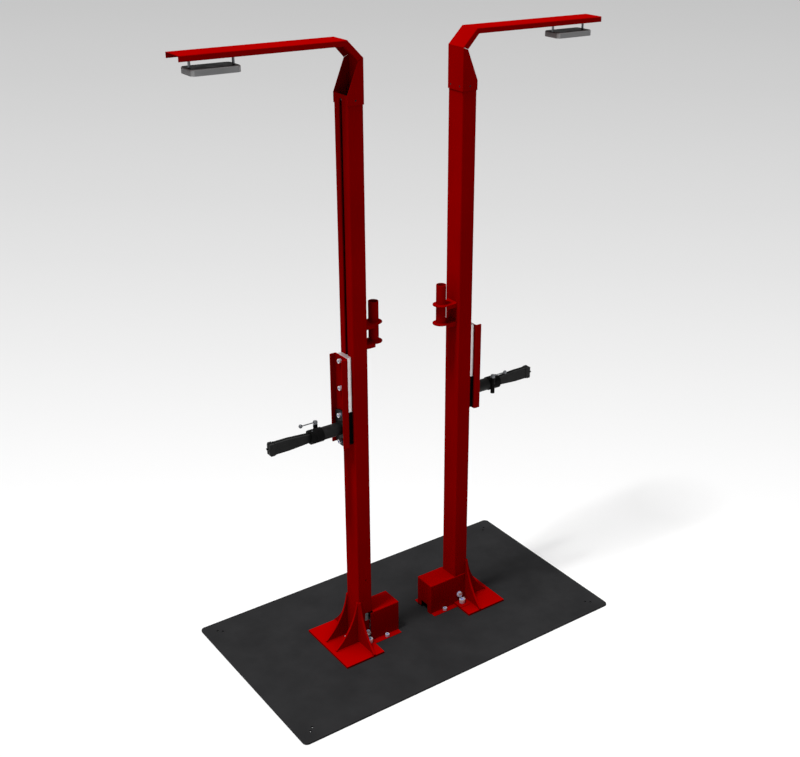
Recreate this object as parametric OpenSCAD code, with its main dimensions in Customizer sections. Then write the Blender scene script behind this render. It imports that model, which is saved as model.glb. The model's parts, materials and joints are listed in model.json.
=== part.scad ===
// Two-mast bicycle workshop lift on one base plate. Millimetres, +Z up.
// The origin is the middle of the base plate's underside, and +X runs along its long side.
// Each sub-part is drawn once, for the mast at +X, which faces +X.
// The mast at -X is the same assembly turned half a turn about Z.
// On the mast at +X the motor cover stands clear of the tube on the +Y side (the open side)
// and lies on it on the -Y side (the closed side).

/* [Base plate] */
// Length of the base plate
plate_l = 1400; // [1300:10:1600]
// Width of the base plate
plate_w = 800; // [700:10:1000]
// Thickness of the base plate
plate_t = 6; // [5:1:12]
// Corner radius of the base plate
plate_corner_r = 18; // [5:1:40]
// Radius of the anchor holes
anchor_hole_r = 4.5; // [3:0.5:6]
// Distance of the outer anchor holes from the plate's edges
anchor_inset = 50; // [40:1:60]
// Step from an outer anchor hole to the inner one beside it, along both edges
anchor_step = 15; // [13:1:25]

/* [Mast] */
// Distance of each mast's axis from the middle of the plate
mast_x = 224; // [220:1:300]
// Depth of the mast tube, along X
tube_d = 60; // [60:1:70]
// Width of the mast tube, along Y
tube_w = 80; // [78:1:90]
// Wall of the mast tube
tube_wall = 4; // [3:0.5:4.5]
// Outer corner radius of the mast tube
tube_corner_r = 5; // [5:0.5:8]
// Length of the mast tube
tube_h = 2058; // [1800:1:2300]
// Width of the front slot
slot_w = 17; // [15:1:20]
// Radius of the small hole in the side wall
peep_hole_r = 3; // [2:0.5:5]
// Height of the small hole above the foot plate
peep_hole_h = 268; // [230:1:320]
// Distance of the small hole behind the mast's axis
peep_hole_back = 4; // [0:1:10]

/* [Foot] */
// Thickness of the foot plate
foot_t = 8; // [6:1:12]
// Width of the foot plate, along Y
foot_w = 280; // [260:2:320]
// Reach of the foot plate in front of the mast
foot_front = 116; // [110:1:140]
// Step in the foot plate's rear edge beside the open side of the motor cover
foot_step = 12.5; // [10:0.5:13]
// Thickness of the gussets
gusset_t = 8; // [6:1:10]
// Reach of a gusset along the foot plate
gusset_reach = 100; // [80:1:110]
// Height of a gusset along the mast
gusset_h = 180; // [150:1:220]
// Radius of a gusset's hollow edge
gusset_arc_r = 275; // [240:1:400]
// Height of a gusset's blunt tip, and width of its flat top
gusset_land = 4.5; // [3:0.5:8]
// Distance of the front foot bolt from the mast's front face
foot_bolt_front = 26; // [22:1:40]
// Distance of the side foot bolts from the mast's side faces
foot_bolt_side = 20; // [18:1:30]
// Distance of the side foot bolts behind the mast's front face
foot_bolt_back = 34; // [32:1:36]

/* [Motor cover] */
// Sheet thickness of the motor cover
cover_t = 2; // [1.5:0.5:2.5]
// Length of the motor cover behind the mast
cover_l = 116; // [112:1:130]
// Height of the motor cover above the base plate
cover_h = 129.5; // [126:0.5:150]
// Gap between the mast and the cover wall on the open side
cover_gap = 7; // [4:0.5:10]
// Length of the open side's wall past the mast's back
cover_reach = 12; // [8:0.5:12]
// Outer fold radius of the cover
cover_fold_r = 4; // [3:0.5:8]
// Width of the fastening lip on the open side
lip_open = 24; // [20:1:30]
// Width of the fastening lip on the closed side
lip_closed = 22; // [20:1:26]
// Length of the tab under the side foot bolt, along X
tab_l = 48; // [44:1:50]
// Width of the tab under the side foot bolt
tab_w = 44; // [36:1:50]
// Width of the cable notch in the end wall
notch_w = 42; // [30:1:46]
// Height of the cable notch
notch_h = 33; // [20:1:40]
// Height of the low step beside the cable notch
notch_step_h = 8; // [5:1:12]
// Distance of the cover screws behind the mast's back
cover_screw_back = 54; // [40:1:70]

/* [Lift drive] */
// Travel of the carriage
lift_travel = 850; // [600:10:850]
// Outer radius of the lead screw
screw_r = 10; // [9:0.5:11]
// Radius of the lead screw's bearing journals
journal_r = 8; // [7:0.5:8.5]
// Radius of the motor shaft and of the lead screw's lower end
shaft_r = 6; // [5:0.5:6.5]
// Radius of the drive nut's housing
nut_r = 22; // [20:0.5:24]
// Height of the drive nut's housing
nut_h = 60; // [40:1:80]
// Thickness of the carrier bar inside the mast
carrier_t = 11.7; // [10:0.1:12]
// Width of the carrier bar
carrier_w = 52; // [44:1:60]
// Radius of the motor
motor_r = 38; // [32:1:39]
// Height of the motor's axis above the base plate
motor_axis_h = 52; // [48:1:53]
// Length of the motor behind the mast's back
motor_l = 102; // [80:1:106]
// Height of the gearbox
gearbox_h = 119; // [112:1:119]
// Radius of the shaft coupling
coupling_r = 16; // [13:0.5:18]
// Length of the shaft coupling
coupling_l = 34; // [30:1:35]

/* [Carriage] */
// Height of the carriage's lower end at the bottom of its travel
carriage_low = 855; // [800:5:900]
// Length of the carriage channel
carriage_h = 335; // [325:1:345]
// Width of the carriage channel
channel_w = 80; // [78:1:90]
// Depth of the carriage channel
channel_d = 25; // [22:1:35]
// Thickness of the carriage channel
channel_t = 5; // [4:0.5:5.5]
// Outer fold radius of the carriage channel
channel_fold_r = 6; // [6:0.5:9]
// Thickness of the slide blocks between mast and channel
block_t = 18.7; // [16:0.1:24]
// Width of the upper slide block
slide_block_w = 60; // [50:1:70]
// Length of the upper slide block
slide_block_h = 204; // [180:1:204]
// Width of the lower slide block
lower_block_w = 64; // [50:1:70]
// Length of the lower slide block
lower_block_h = 123; // [110:1:124]
// Pitch of the carriage bolts
carriage_bolt_pitch = 102; // [96:1:102]
// Distance of the top carriage bolt from the channel's upper end
carriage_bolt_top = 16; // [14:1:24]

/* [Clamp arm] */
// Radius of the mounting flange's round ends
flange_r = 67.5; // [62:0.5:72]
// Thickness of the mounting flange
flange_t = 7; // [6:0.5:9]
// Radius of the arm tube
arm_r = 23; // [21.5:0.5:26]
// Bore radius of the arm tube
arm_bore_r = 15; // [10:0.5:16]
// Length of the arm tube in front of its flange
arm_l = 79; // [60:1:100]
// Radius of the turned end that the jaw head swivels on
spigot_r = 20; // [19:0.5:21]
// Length of the turned end
spigot_l = 28; // [24:1:28]

/* [Jaw head] */
// Outer radius of the head's collar
collar_r = 25.5; // [25:0.5:30]
// Length of the collar
collar_l = 30; // [30:1:38]
// Length of the rounded block in front of the collar
block_l = 18; // [18:1:24]
// Width of the rounded block
block_w = 46; // [42:1:48]
// Height of the rounded block
block_h = 48; // [46:1:50]
// Radius of the pinch boss
boss_r = 8; // [7:0.5:10]
// Sideways distance of the pinch screw from the arm's axis
pinch_side = 23; // [22.5:0.5:25]
// Distance of the pinch screw from the collar's rear end
pinch_back = 9; // [8:0.5:12]
// Height of the pinch boss above the arm's axis, and depth below it
pinch_reach = 31.5; // [28:0.5:36]
// Radius of the pinch screw
pinch_r = 4; // [3:0.5:5]
// Height of the pinch screw's head
pinch_head_h = 13; // [10:0.5:16]
// Radius of the lever rod
lever_r = 2; // [1.75:0.25:3]
// Radius of the lever's ball
lever_ball_r = 7; // [4:0.5:7]
// Distance of the lever's ball from the pinch screw's axis
lever_l = 58; // [40:1:66]

/* [Jaws] */
// Thickness of a jaw bar
jaw_t = 7; // [6:0.5:8]
// Thickness of a jaw pad
pad_t = 2.3; // [1.8:0.1:2.5]
// Gap between the closed pads
pad_gap = 0.4; // [0.3:0.1:0.6]
// Height of a jaw bar at its root
jaw_root_h = 30; // [26:1:32]
// Height of a jaw bar at its nose
jaw_h = 42; // [36:1:42]
// Length of a jaw from the block's front to its tip
jaw_l = 158; // [140:1:200]
// Length over which a jaw bar widens
jaw_taper_l = 82; // [60:1:90]
// Length of the nose block
nose_l = 22; // [20:1:30]
// Height of the nose block
nose_h = 44; // [43:1:52]
// Thickness of the closed pair of nose blocks
nose_w = 26; // [26:1:34]
// Radius of the jaw's hinge pin
jaw_pin_r = 3; // [2.5:0.25:3.5]
// Radius of the jaw's knuckle
knuckle_r = 6; // [5.5:0.25:6.5]
// Opening angle of the moving jaw
jaw_open = 14; // [10:1:14]

/* [Lamp arm] */
// Sheet thickness of the lamp arm
arm_sheet = 2; // [1.5:0.5:2.5]
// Outer fold radius of the lamp arm
arm_fold_r = 3; // [2.5:0.5:4]
// Overlap of the lamp arm on the mast
arm_lap = 32; // [24:1:40]
// Height of the lower bend above the top of the mast
bend_h = 111; // [90:1:130]
// Rise of the sloping stretch, which runs at 45 degrees
bend_rise = 57; // [45:1:70]
// Depth of the arm's side flanges
arm_flange = 18; // [14:1:22]
// Reach of the lamp arm from the middle of the base plate
arm_reach = 800; // [760:1:860]
// Width of the relief slit at the lower bend
slit_w = 1.2; // [0.8:0.1:2.5]
// Distance of the two rear arm screws from the middle
arm_screw_side = 25; // [18:1:28]

/* [Lamp] */
// Length of the lamp housing
lamp_l = 147.5; // [120:0.5:180]
// Width of the lamp housing
lamp_w = 80; // [60:1:100]
// Height of the lamp housing
lamp_h = 19; // [16:0.5:25]
// Corner radius of the lamp housing
lamp_corner_r = 15; // [10:0.5:16]
// Radius of the housing's rounded top edge
lamp_edge_r = 4; // [3:0.5:4]
// Drop from the arm's top to the lamp's top
lamp_drop = 43; // [35:1:60]
// Distance of the lamp's outer end from the arm's end
lamp_inset = 45; // [20:1:60]
// Radius of the lamp's hanging studs
stud_r = 4; // [3:0.5:5]
// Distance of the studs from the lamp's ends
stud_inset = 4.5; // [4:0.25:5.5]

/* [Tube holder] */
// Outer radius of the holder tube
socket_r = 16; // [14:0.5:20]
// Bore radius of the holder tube
socket_bore_r = 13; // [11:0.5:13.5]
// Distance of the holder tube's axis from the mast's back
socket_back = 50.6; // [40:0.1:60]
// Height of the holder tube's upper end
socket_top = 1363; // [1320:1:1400]
// Height of the upper flange's top face
flange_high = 1289; // [1270:1:1310]
// Height of the lower flange's top face
flange_low = 1218; // [1200:1:1240]
// Sheet thickness of the holder's flanges
flange_sheet = 3; // [2:0.5:4]
// Radius of the flanges' noses
flange_nose_r = 30; // [26:0.5:34]
// Width of a flange across its turned-down sides
flange_w = 54; // [46:1:60]
// Depth of the turned-down sides
flange_skirt = 15; // [10:1:20]

/* [Hidden] */
$fn = 96;

// How far a cut runs past the face that it cuts
overrun = 1;
// Radial running fit of shafts, pins and bores
fit = 0.05;
// Clearance of a fixed piece in its seat
seat = 0.02;
// Gap between two sliding or turning faces
run_gap = 0.3;
// Clearance of the pieces that fill the mast tube
tube_gap = 0.1;

// Heights that the rest stands on
foot_top = plate_t + foot_t;
mast_top = foot_top + tube_h;
mast_back = mast_x - tube_d / 2;
mast_front = mast_x + tube_d / 2;
inner_front = mast_front - tube_wall;
inner_w = tube_w - 2 * tube_wall;
inner_d = tube_d - 2 * tube_wall;

// Fasteners: radius of thread, radius and height of head, width of the socket
m16 = [8, 12, 16, 14];
m10 = [5, 8, 10, 8];
m6_r = 3;
m6_socket = 3;
m12_r = 6;
m12_head_af = 19;
m12_head_h = 7.5;
washer_r = 12;
washer_t = 2.5;
thread_end = 1;
socket_share = 0.5;

// The two mast bolts that hold the gearbox
mast_bolt_in = 23;
mast_bolt_x = mast_back + mast_bolt_in;
mast_bolt_h = 33;
mast_bolt_bite = 12;

// Rear cut-out of the mast: a low part for the motor and a deep part for the gearbox
cut_low_d = 13;
cut_low_h = 84;
cut_deep_d = 32;
cut_deep_h = 121;

// Motor cover
cover_end = mast_back - cover_l;
cover_top = plate_t + cover_h;
wall_open = tube_w / 2 + cover_gap + cover_t;
wall_closed = tube_w / 2 + cover_t;
lip_start = cover_fold_r;
notch_start = -19.5;
closed_wall_end = mast_front - gusset_t;

// Gear motor
gearbox_back = mast_back + cut_low_d;
gearbox_front = inner_front - tube_gap;
gearbox_top = foot_top + gearbox_h;
gearbox_edge_r = 4;
output_boss_r = 20;
output_boss_h = 2;
output_depth = 12;
motor_z = plate_t + motor_axis_h;
motor_end = mast_back - motor_l;
motor_bell_l = 22;
motor_bell_step = 3;
motor_bell_r = motor_r - motor_bell_step;
motor_rib_pitch = 8;
motor_rib_w = 3;
motor_rib_d = 2;

// Screw, coupling and bearings, from the gearbox upwards
coupling_gap = 1.5;
coupling_low = gearbox_top + output_boss_h + coupling_gap;
coupling_high = coupling_low + coupling_l;
coupling_slit = 1.5;
coupling_screw_r = 2.5;
coupling_screw_in = 7;
coupling_screw_off = 10;
shaft_split = coupling_low + coupling_l / 2;
shaft_end_gap = 1;
bearing_plate_t = 8;
bearing_boss_r = 19;
bearing_boss_h = 16;
bearing_gap = 2;
bearing_low = coupling_high + bearing_gap;
bearing_low_top = bearing_low + bearing_plate_t + bearing_boss_h;
bearing_inset = 12;
bearing_high_top = mast_top - bearing_inset;
bearing_high = bearing_high_top - bearing_plate_t - bearing_boss_h;

// Carriage
carriage_top = carriage_low + carriage_h;
block_back = mast_front + run_gap;
web_back = block_back + block_t;
web_front = web_back + channel_t;
flange_front = web_front + flange_t;
block_split = carriage_top - slide_block_h;
block_gap = 1;
lower_block_top = block_split - block_gap;
lower_block_low = lower_block_top - lower_block_h;
tongue_w = slot_w - 2 * run_gap;
carrier_front = inner_front - run_gap;
carrier_back = carrier_front - carrier_t;
carrier_low = lower_block_low;
carrier_inset = 10;
carrier_top = carriage_top - carrier_inset;
nut_rise = 185;
nut_low = carriage_low + nut_rise;
block_edge_r = 3;
bolt_z = [for (i = [0:3]) carriage_top - carriage_bolt_top - i * carriage_bolt_pitch];
slot_under = 4;
slot_over = 20;
slot_low = lower_block_low - slot_under;
slot_high = carriage_top + lift_travel + slot_over;

// Clamp
clamp_z = (bolt_z[2] + bolt_z[3]) / 2;
arm_end = flange_front + arm_l;
flange_side_gap = 1;
groove_play = 2;
groove_w = 2 * pinch_r + groove_play;
groove_d = 1.5;
weld_leg = 4;
collar_start = arm_end + run_gap;
collar_end = collar_start + collar_l;
head_end = collar_end + block_l;
block_corner_r = 18;
pinch_x = collar_start + pinch_back;
pinch_slit = 2.5;
pinch_slit_l = 25;
lever_share = 0.55;
lever_z = pinch_head_h * lever_share;
lever_seat = 3;

// Jaws: a bar's inner face, and the hinge pin in the middle of the moving bar
jaw_face = pad_gap / 2 + pad_t;
jaw_pin_side = jaw_face + jaw_t / 2;
jaw_pin_x = collar_end + block_l / 2;
jaw_tip = head_end + jaw_l;
jaw_slot_floor = 2;
jaw_swing_gap = 1;
jaw_slot_x = collar_end + jaw_slot_floor;
jaw_swing = block_l / 2 * sin(jaw_open) + jaw_t / 2 * cos(jaw_open);
jaw_slot_side = jaw_pin_side + max(knuckle_r, jaw_swing) + jaw_swing_gap;
jaw_clear = 0.3;
nose_chamfer = 4;
pad_root_gap = 8;
pad_start = head_end + pad_root_gap;
pad_end_in = 2;
pad_side_in = 2;
nub_r = 3.5;
nub_l = 2.5;
pin_head_h = 1;

// Lamp arm: bends, from the mast up and outwards
arm_low = mast_top - arm_lap;
arm_back = mast_back - arm_sheet;
arm_half_w = tube_w / 2 + arm_sheet;
bend_low = mast_top + bend_h;
arm_top = bend_low + bend_rise;
bend_out = arm_back + bend_rise;
half_bend = 22.5;
throat_in = 20;
throat = [arm_back + throat_in, bend_low - throat_in * tan(half_bend)];
armpit = [bend_out + arm_flange * tan(half_bend), arm_top - arm_flange];
arm_screw_drop = 17;
arm_screw_h = mast_top - arm_screw_drop;

// Lamp
lamp_out = arm_reach - lamp_inset;
lamp_x = lamp_out - lamp_l / 2;
lamp_top = arm_top - lamp_drop;
lamp_low = lamp_top - lamp_h;
lamp_wall = 2.5;
lamp_roof = 3;
lens_t = 2;
lens_step = 1.5;
lens_recess = 0.5;
lens_gap = 0.3;
board_t = 1.6;
board_in = 6;
led_size = 3.5;
led_t = 0.8;
led_rows = 4;
led_columns = 8;
stud_boss_r = 8;
stud_depth = 10;

// Tube holder
socket_x = mast_back - socket_back;
skirt_end = socket_x + flange_nose_r / 3;

// The same thing for the mast at -X
module turned() rotate([0, 0, 180]) children();

// One for each mast
module both() {
    children();
    turned() children();
}

// A rounded rectangle centred on the origin
module rounded_rect(l, w, r) {
    square([l - 2 * r, w], center = true);
    square([l, w - 2 * r], center = true);
    for (sx = [-1, 1], sy = [-1, 1])
        translate([sx * (l / 2 - r), sy * (w / 2 - r)]) circle(r);
}

// A box given by its two corners
module box(low, high) translate(low) cube(high - low);

// A round bar or bore along X, Y or Z, from a point
module along_x(p, l, r) translate(p) rotate([0, 90, 0]) cylinder(h = l, r = r);
module along_y(p, l, r) translate(p) rotate([-90, 0, 0]) cylinder(h = l, r = r);
module along_z(p, l, r) translate(p) cylinder(h = l, r = r);

// A profile in X and Z, as thick as w along Y, from y
module plate_xz(y, w) translate([0, y + w, 0]) rotate([90, 0, 0]) linear_extrude(w) children();

// A socket head cap screw with its head's underside at the origin, pointing down
module cap_screw(m, shank) {
    difference() {
        cylinder(h = m[2], r = m[1]);
        translate([0, 0, m[2] * socket_share])
            cylinder(h = m[2], r = m[3] / 2 / cos(30), $fn = 6);
    }
    translate([0, 0, -shank]) cylinder(h = shank, r = m[0]);
}

// A hexagon bolt with its washer's underside at the origin, pointing down
module hex_bolt(shank) {
    cylinder(h = washer_t, r = washer_r);
    translate([0, 0, washer_t]) cylinder(h = m12_head_h, r = m12_head_af / 2 / cos(30), $fn = 6);
    translate([0, 0, -shank]) cylinder(h = shank, r = m12_r);
}

// A headless set screw with its outer end at the origin, pointing down
module set_screw(length) difference() {
    translate([0, 0, -length]) cylinder(h = length, r = m6_r);
    translate([0, 0, -length * socket_share])
        cylinder(h = length, r = m6_socket / 2 / cos(30), $fn = 6);
}

// Places of the foot bolts on one foot: [x, y, height of the face under the head]
function foot_bolt_places() = [
    [mast_front + foot_bolt_front, 0, foot_top],
    [mast_front - foot_bolt_back, tube_w / 2 + foot_bolt_side, foot_top],
    [mast_front - foot_bolt_back, -tube_w / 2 - foot_bolt_side, foot_top + cover_t]
];

// Places of the screws in the cover's lips
function cover_screw_places() = [
    [mast_back - cover_screw_back, wall_open + lip_open / 2],
    [mast_back - cover_screw_back, -wall_closed - lip_closed / 2]
];

module base_plate() color([0.19, 0.19, 0.2]) difference() {
    linear_extrude(plate_t) rounded_rect(plate_l, plate_w, plate_corner_r);
    for (sx = [-1, 1], sy = [-1, 1], in = [anchor_inset, anchor_inset + anchor_step])
        along_z([sx * (plate_l / 2 - in), sy * (plate_w / 2 - in), -overrun],
                plate_t + 2 * overrun, anchor_hole_r);
    both() {
        for (p = foot_bolt_places())
            along_z([p[0], p[1], -overrun], plate_t + 2 * overrun, m16[0] + seat);
        for (p = cover_screw_places())
            along_z([p[0], p[1], -overrun], plate_t + 2 * overrun, m10[0] + seat);
    }
}

// The foot plate's rear edge steps forward beside the cover's open side
module foot_plate() color("firebrick") difference() {
    translate([0, 0, plate_t]) linear_extrude(foot_t) polygon([
        [mast_back, -foot_w / 2],
        [mast_front + foot_front, -foot_w / 2],
        [mast_front + foot_front, foot_w / 2],
        [mast_back + foot_step, foot_w / 2],
        [mast_back + foot_step, tube_w / 2],
        [mast_back, tube_w / 2]
    ]);
    for (p = foot_bolt_places())
        along_z([p[0], p[1], plate_t - overrun], foot_t + 2 * overrun, m16[0] + seat);
}

// A gusset's outline: upright edge at 0, with a hollow arc from its top to its tip
module gusset_outline() {
    top = [gusset_land, gusset_h];
    tip = [gusset_reach, gusset_land];
    chord = norm(tip - top);
    out = [top[1] - tip[1], tip[0] - top[0]] / chord;
    centre = (top + tip) / 2 + out * sqrt(pow(gusset_arc_r, 2) - pow(chord / 2, 2));
    difference() {
        polygon([[0, 0], [gusset_reach, 0], tip, top, [0, gusset_h]]);
        translate(centre) circle(gusset_arc_r, $fn = 360);
    }
}

module gussets() color("firebrick") both() translate([mast_front, 0, foot_top]) {
    for (y = [-tube_w / 2, tube_w / 2 - gusset_t])
        plate_xz(y, gusset_t) gusset_outline();
    for (side = [0, 1])
        mirror([0, side, 0])
            translate([-gusset_t, tube_w / 2, 0])
                rotate([90, 0, 90]) linear_extrude(gusset_t) gusset_outline();
}

module foot_bolts() color("gainsboro") both()
    for (p = foot_bolt_places())
        translate(p) cap_screw(m16, p[2] - thread_end);

module mast_bolts() color("gainsboro") both() {
    translate([mast_bolt_x, tube_w / 2, foot_top + mast_bolt_h])
        rotate([-90, 0, 0]) hex_bolt(tube_wall + mast_bolt_bite);
    translate([mast_bolt_x, -wall_closed, foot_top + mast_bolt_h])
        rotate([90, 0, 0]) hex_bolt(tube_wall + cover_t + mast_bolt_bite);
}

module cover_screws() color("gainsboro") both()
    for (p = cover_screw_places())
        translate([p[0], p[1], plate_t + cover_t])
            cap_screw(m10, plate_t + cover_t - thread_end);

module arm_screws() color([0.1, 0.1, 0.1]) both() {
    for (y = [-arm_screw_side, arm_screw_side])
        translate([arm_back, y, arm_screw_h])
            rotate([0, -90, 0]) set_screw(arm_sheet + tube_wall);
    for (side = [0, 1])
        mirror([0, side, 0])
            translate([mast_x, arm_half_w, arm_screw_h])
                rotate([-90, 0, 0]) set_screw(arm_sheet + tube_wall);
}

// The tube with its front slot, the motor's cut-out at the rear and the holes
module mast_tube() color("firebrick") difference() {
    translate([mast_x, 0, foot_top]) linear_extrude(tube_h) difference() {
        rounded_rect(tube_d, tube_w, tube_corner_r);
        rounded_rect(inner_d, inner_w, tube_corner_r - tube_wall);
    }
    for (z = [slot_low + slot_w / 2, slot_high - slot_w / 2])
        along_x([inner_front - overrun, 0, z], tube_wall + 2 * overrun, slot_w / 2);
    box([inner_front - overrun, -slot_w / 2, slot_low + slot_w / 2],
        [mast_front + overrun, slot_w / 2, slot_high - slot_w / 2]);
    box([mast_back - overrun, -tube_w, foot_top - overrun],
        [mast_back + cut_low_d, tube_w, foot_top + cut_low_h + overrun]);
    box([mast_back - overrun, -tube_w, foot_top + cut_low_h],
        [mast_back + cut_deep_d, tube_w, foot_top + cut_deep_h]);
    along_y([mast_x - peep_hole_back, inner_w / 2 - overrun, foot_top + peep_hole_h],
            tube_wall + 2 * overrun, peep_hole_r);
    along_y([mast_bolt_x, -tube_w, foot_top + mast_bolt_h], 2 * tube_w, m12_r + seat);
    along_y([mast_x, -tube_w, arm_screw_h], 2 * tube_w, m6_r + seat);
    for (y = [-arm_screw_side, arm_screw_side])
        along_x([mast_back - overrun, y, arm_screw_h], tube_wall + 2 * overrun, m6_r + seat);
}

// A folded skin: three rounded outlines crossed, less the same ones drawn in by d
module cover_form(d) intersection() {
    r = cover_fold_r - d;
    far = mast_front + cover_l;
    middle = (wall_open - wall_closed) / 2;
    width = wall_open + wall_closed - 2 * d;
    translate([cover_end, middle, 0]) rotate([90, 0, 90]) linear_extrude(far)
        translate([0, cover_top - d - cover_h]) rounded_rect(width, 2 * cover_h, r);
    translate([cover_end + d + far, middle, 0]) linear_extrude(2 * cover_top)
        rounded_rect(2 * far, width, r);
    plate_xz(-tube_w, 2 * tube_w)
        translate([cover_end + d + far, cover_top - d - cover_h])
            rounded_rect(2 * far, 2 * cover_h, r);
}

module motor_cover() color("firebrick") difference() {
    union() {
        difference() {
            cover_form(0);
            cover_form(cover_t);
            box([0, -tube_w, -2 * cover_h], [mast_front + 3 * cover_l, tube_w, plate_t]);
            box([mast_back, -tube_w / 2, 0], [mast_front + 3 * cover_l, tube_w, 2 * cover_top]);
            box([closed_wall_end, -tube_w, 0], [mast_front + 3 * cover_l, 0, 2 * cover_top]);
            box([mast_back, -tube_w, 0], [closed_wall_end + overrun, 0, foot_top]);
            box([mast_back, -tube_w / 2, 0], [closed_wall_end, 0, 2 * cover_top]);
        }
        open_wall_tip();
        cover_lips();
    }
    box([cover_end - overrun, notch_start, 0],
        [cover_end + cover_fold_r, notch_start + notch_w, plate_t + notch_h]);
    box([cover_end - overrun, 0, 0],
        [cover_end + cover_fold_r, wall_open - cover_t - cover_fold_r, plate_t + notch_step_h]);
    along_y([mast_bolt_x, -tube_w, foot_top + mast_bolt_h], tube_w, m12_r + seat);
    for (p = cover_screw_places())
        along_z([p[0], p[1], 0], cover_top / 2, m10[0] + seat);
    side_bolt = foot_bolt_places()[2];
    along_z([side_bolt[0], side_bolt[1], 0], cover_top / 2, m16[0] + seat);
}

// The open side's wall runs a little past the mast's back
module open_wall_tip()
    box([mast_back - overrun, wall_open - cover_t, plate_t],
        [mast_back + cover_reach, wall_open, cover_top - cover_fold_r]);

// Lips on the base plate at both sides, and the tab that laps onto the foot plate
module cover_lips() {
    box([cover_end + lip_start, wall_open - overrun, plate_t],
        [mast_back + cover_reach, wall_open + lip_open, plate_t + cover_t]);
    box([cover_end + lip_start, -wall_closed - lip_closed, plate_t],
        [mast_back, -wall_closed + overrun, plate_t + cover_t]);
    box([mast_back, -wall_closed - tab_w, foot_top],
        [mast_back + tab_l, -wall_closed + overrun, foot_top + cover_t]);
}

// Gearbox in the mast's foot, with the motor lying behind it under the cover
module gear_motor() color([0.72, 0.73, 0.74]) {
    difference() {
        union() {
            box_middle = (gearbox_back + gearbox_front) / 2;
            translate([box_middle, 0, foot_top]) linear_extrude(gearbox_h)
                rounded_rect(gearbox_front - gearbox_back, inner_w - 2 * tube_gap, gearbox_edge_r);
            along_z([mast_x, 0, gearbox_top], output_boss_h, output_boss_r);
        }
        along_z([mast_x, 0, gearbox_top + output_boss_h - output_depth],
                output_depth + overrun, shaft_r + fit);
        along_y([mast_bolt_x, inner_w / 2 - mast_bolt_bite - overrun, foot_top + mast_bolt_h],
                mast_bolt_bite + 2 * overrun, m12_r + seat);
        along_y([mast_bolt_x, -inner_w / 2 - overrun, foot_top + mast_bolt_h],
                mast_bolt_bite + 2 * overrun, m12_r + seat);
    }
    motor_body();
}

// A turned motor body with cooling ribs and a smaller end bell
module motor_body() {
    ribs_start = motor_end + motor_bell_l + motor_rib_pitch;
    difference() {
        union() {
            along_x([motor_end + motor_bell_l, 0, motor_z],
                    gearbox_back - motor_end - motor_bell_l, motor_r);
            along_x([motor_end, 0, motor_z], motor_bell_l, motor_bell_r);
        }
        for (x = [ribs_start : motor_rib_pitch : mast_back - motor_rib_pitch])
            translate([x, 0, motor_z]) rotate([0, 90, 0]) difference() {
                cylinder(h = motor_rib_w, r = motor_r + overrun);
                translate([0, 0, -overrun])
                    cylinder(h = motor_rib_w + 2 * overrun, r = motor_r - motor_rib_d);
            }
    }
}

// A plate that fills the tube, with a round housing on it
module bearing(z, housing_z) difference() {
    union() {
        translate([mast_x, 0, z]) linear_extrude(bearing_plate_t)
            rounded_rect(inner_d - 2 * tube_gap, inner_w - 2 * tube_gap, tube_corner_r - tube_wall);
        along_z([mast_x, 0, housing_z], bearing_boss_h, bearing_boss_r);
    }
    along_z([mast_x, 0, min(z, housing_z) - overrun],
            bearing_plate_t + bearing_boss_h + 2 * overrun, journal_r + fit);
}

module screw_bearings() color("dimgray") {
    bearing(bearing_low, bearing_low + bearing_plate_t);
    bearing(bearing_high_top - bearing_plate_t, bearing_high);
}

// The screw's plain outer form, with stepped ends in the two bearings
module lead_screw() color("silver") translate([mast_x, 0, 0]) rotate_extrude() polygon([
    [0, shaft_split + shaft_end_gap],
    [shaft_r, shaft_split + shaft_end_gap],
    [shaft_r, bearing_low],
    [journal_r, bearing_low],
    [journal_r, bearing_low_top + run_gap],
    [screw_r, bearing_low_top + run_gap],
    [screw_r, bearing_high - run_gap],
    [journal_r, bearing_high - run_gap],
    [journal_r, bearing_high_top + run_gap],
    [0, bearing_high_top + run_gap]
]);

// A clamping coupling, slit at both ends, its two screws and the gearbox's output shaft
module shaft_coupling() color("silver") {
    screw_l = 2 * sqrt(pow(coupling_r, 2) - pow(coupling_screw_off, 2));
    ends = [coupling_low + coupling_screw_in, coupling_high - coupling_screw_in];
    difference() {
        along_z([mast_x, 0, coupling_low], coupling_l, coupling_r);
        along_z([mast_x, 0, coupling_low - overrun], coupling_l + 2 * overrun, shaft_r + seat);
        for (z = [coupling_low - overrun, coupling_high - 2 * coupling_screw_in])
            translate([mast_x, -coupling_slit / 2, z])
                cube([coupling_r + overrun, coupling_slit, 2 * coupling_screw_in + overrun]);
        for (z = ends)
            along_y([mast_x + coupling_screw_off, -coupling_r, z],
                    2 * coupling_r, coupling_screw_r + seat);
    }
    for (z = ends)
        along_y([mast_x + coupling_screw_off, -screw_l / 2, z], screw_l, coupling_screw_r);
    along_z([mast_x, 0, gearbox_top + output_boss_h - output_depth + run_gap],
            shaft_split - shaft_end_gap - gearbox_top - output_boss_h + output_depth - run_gap,
            shaft_r);
}

// The nut's housing on the carrier bar that hangs behind the slot
module drive_nut() color("darkgoldenrod") difference() {
    union() {
        box([carrier_back, -carrier_w / 2, carrier_low],
            [carrier_front, carrier_w / 2, carrier_top]);
        intersection() {
            along_z([mast_x, 0, nut_low], nut_h, nut_r);
            box([0, -nut_r, nut_low], [carrier_front, nut_r, nut_low + nut_h]);
        }
    }
    along_z([mast_x, 0, carriage_low], carriage_h, screw_r + fit);
    for (z = bolt_z)
        along_x([carrier_back - overrun, 0, z], carrier_t + 2 * overrun, m10[0] + seat);
}

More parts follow.
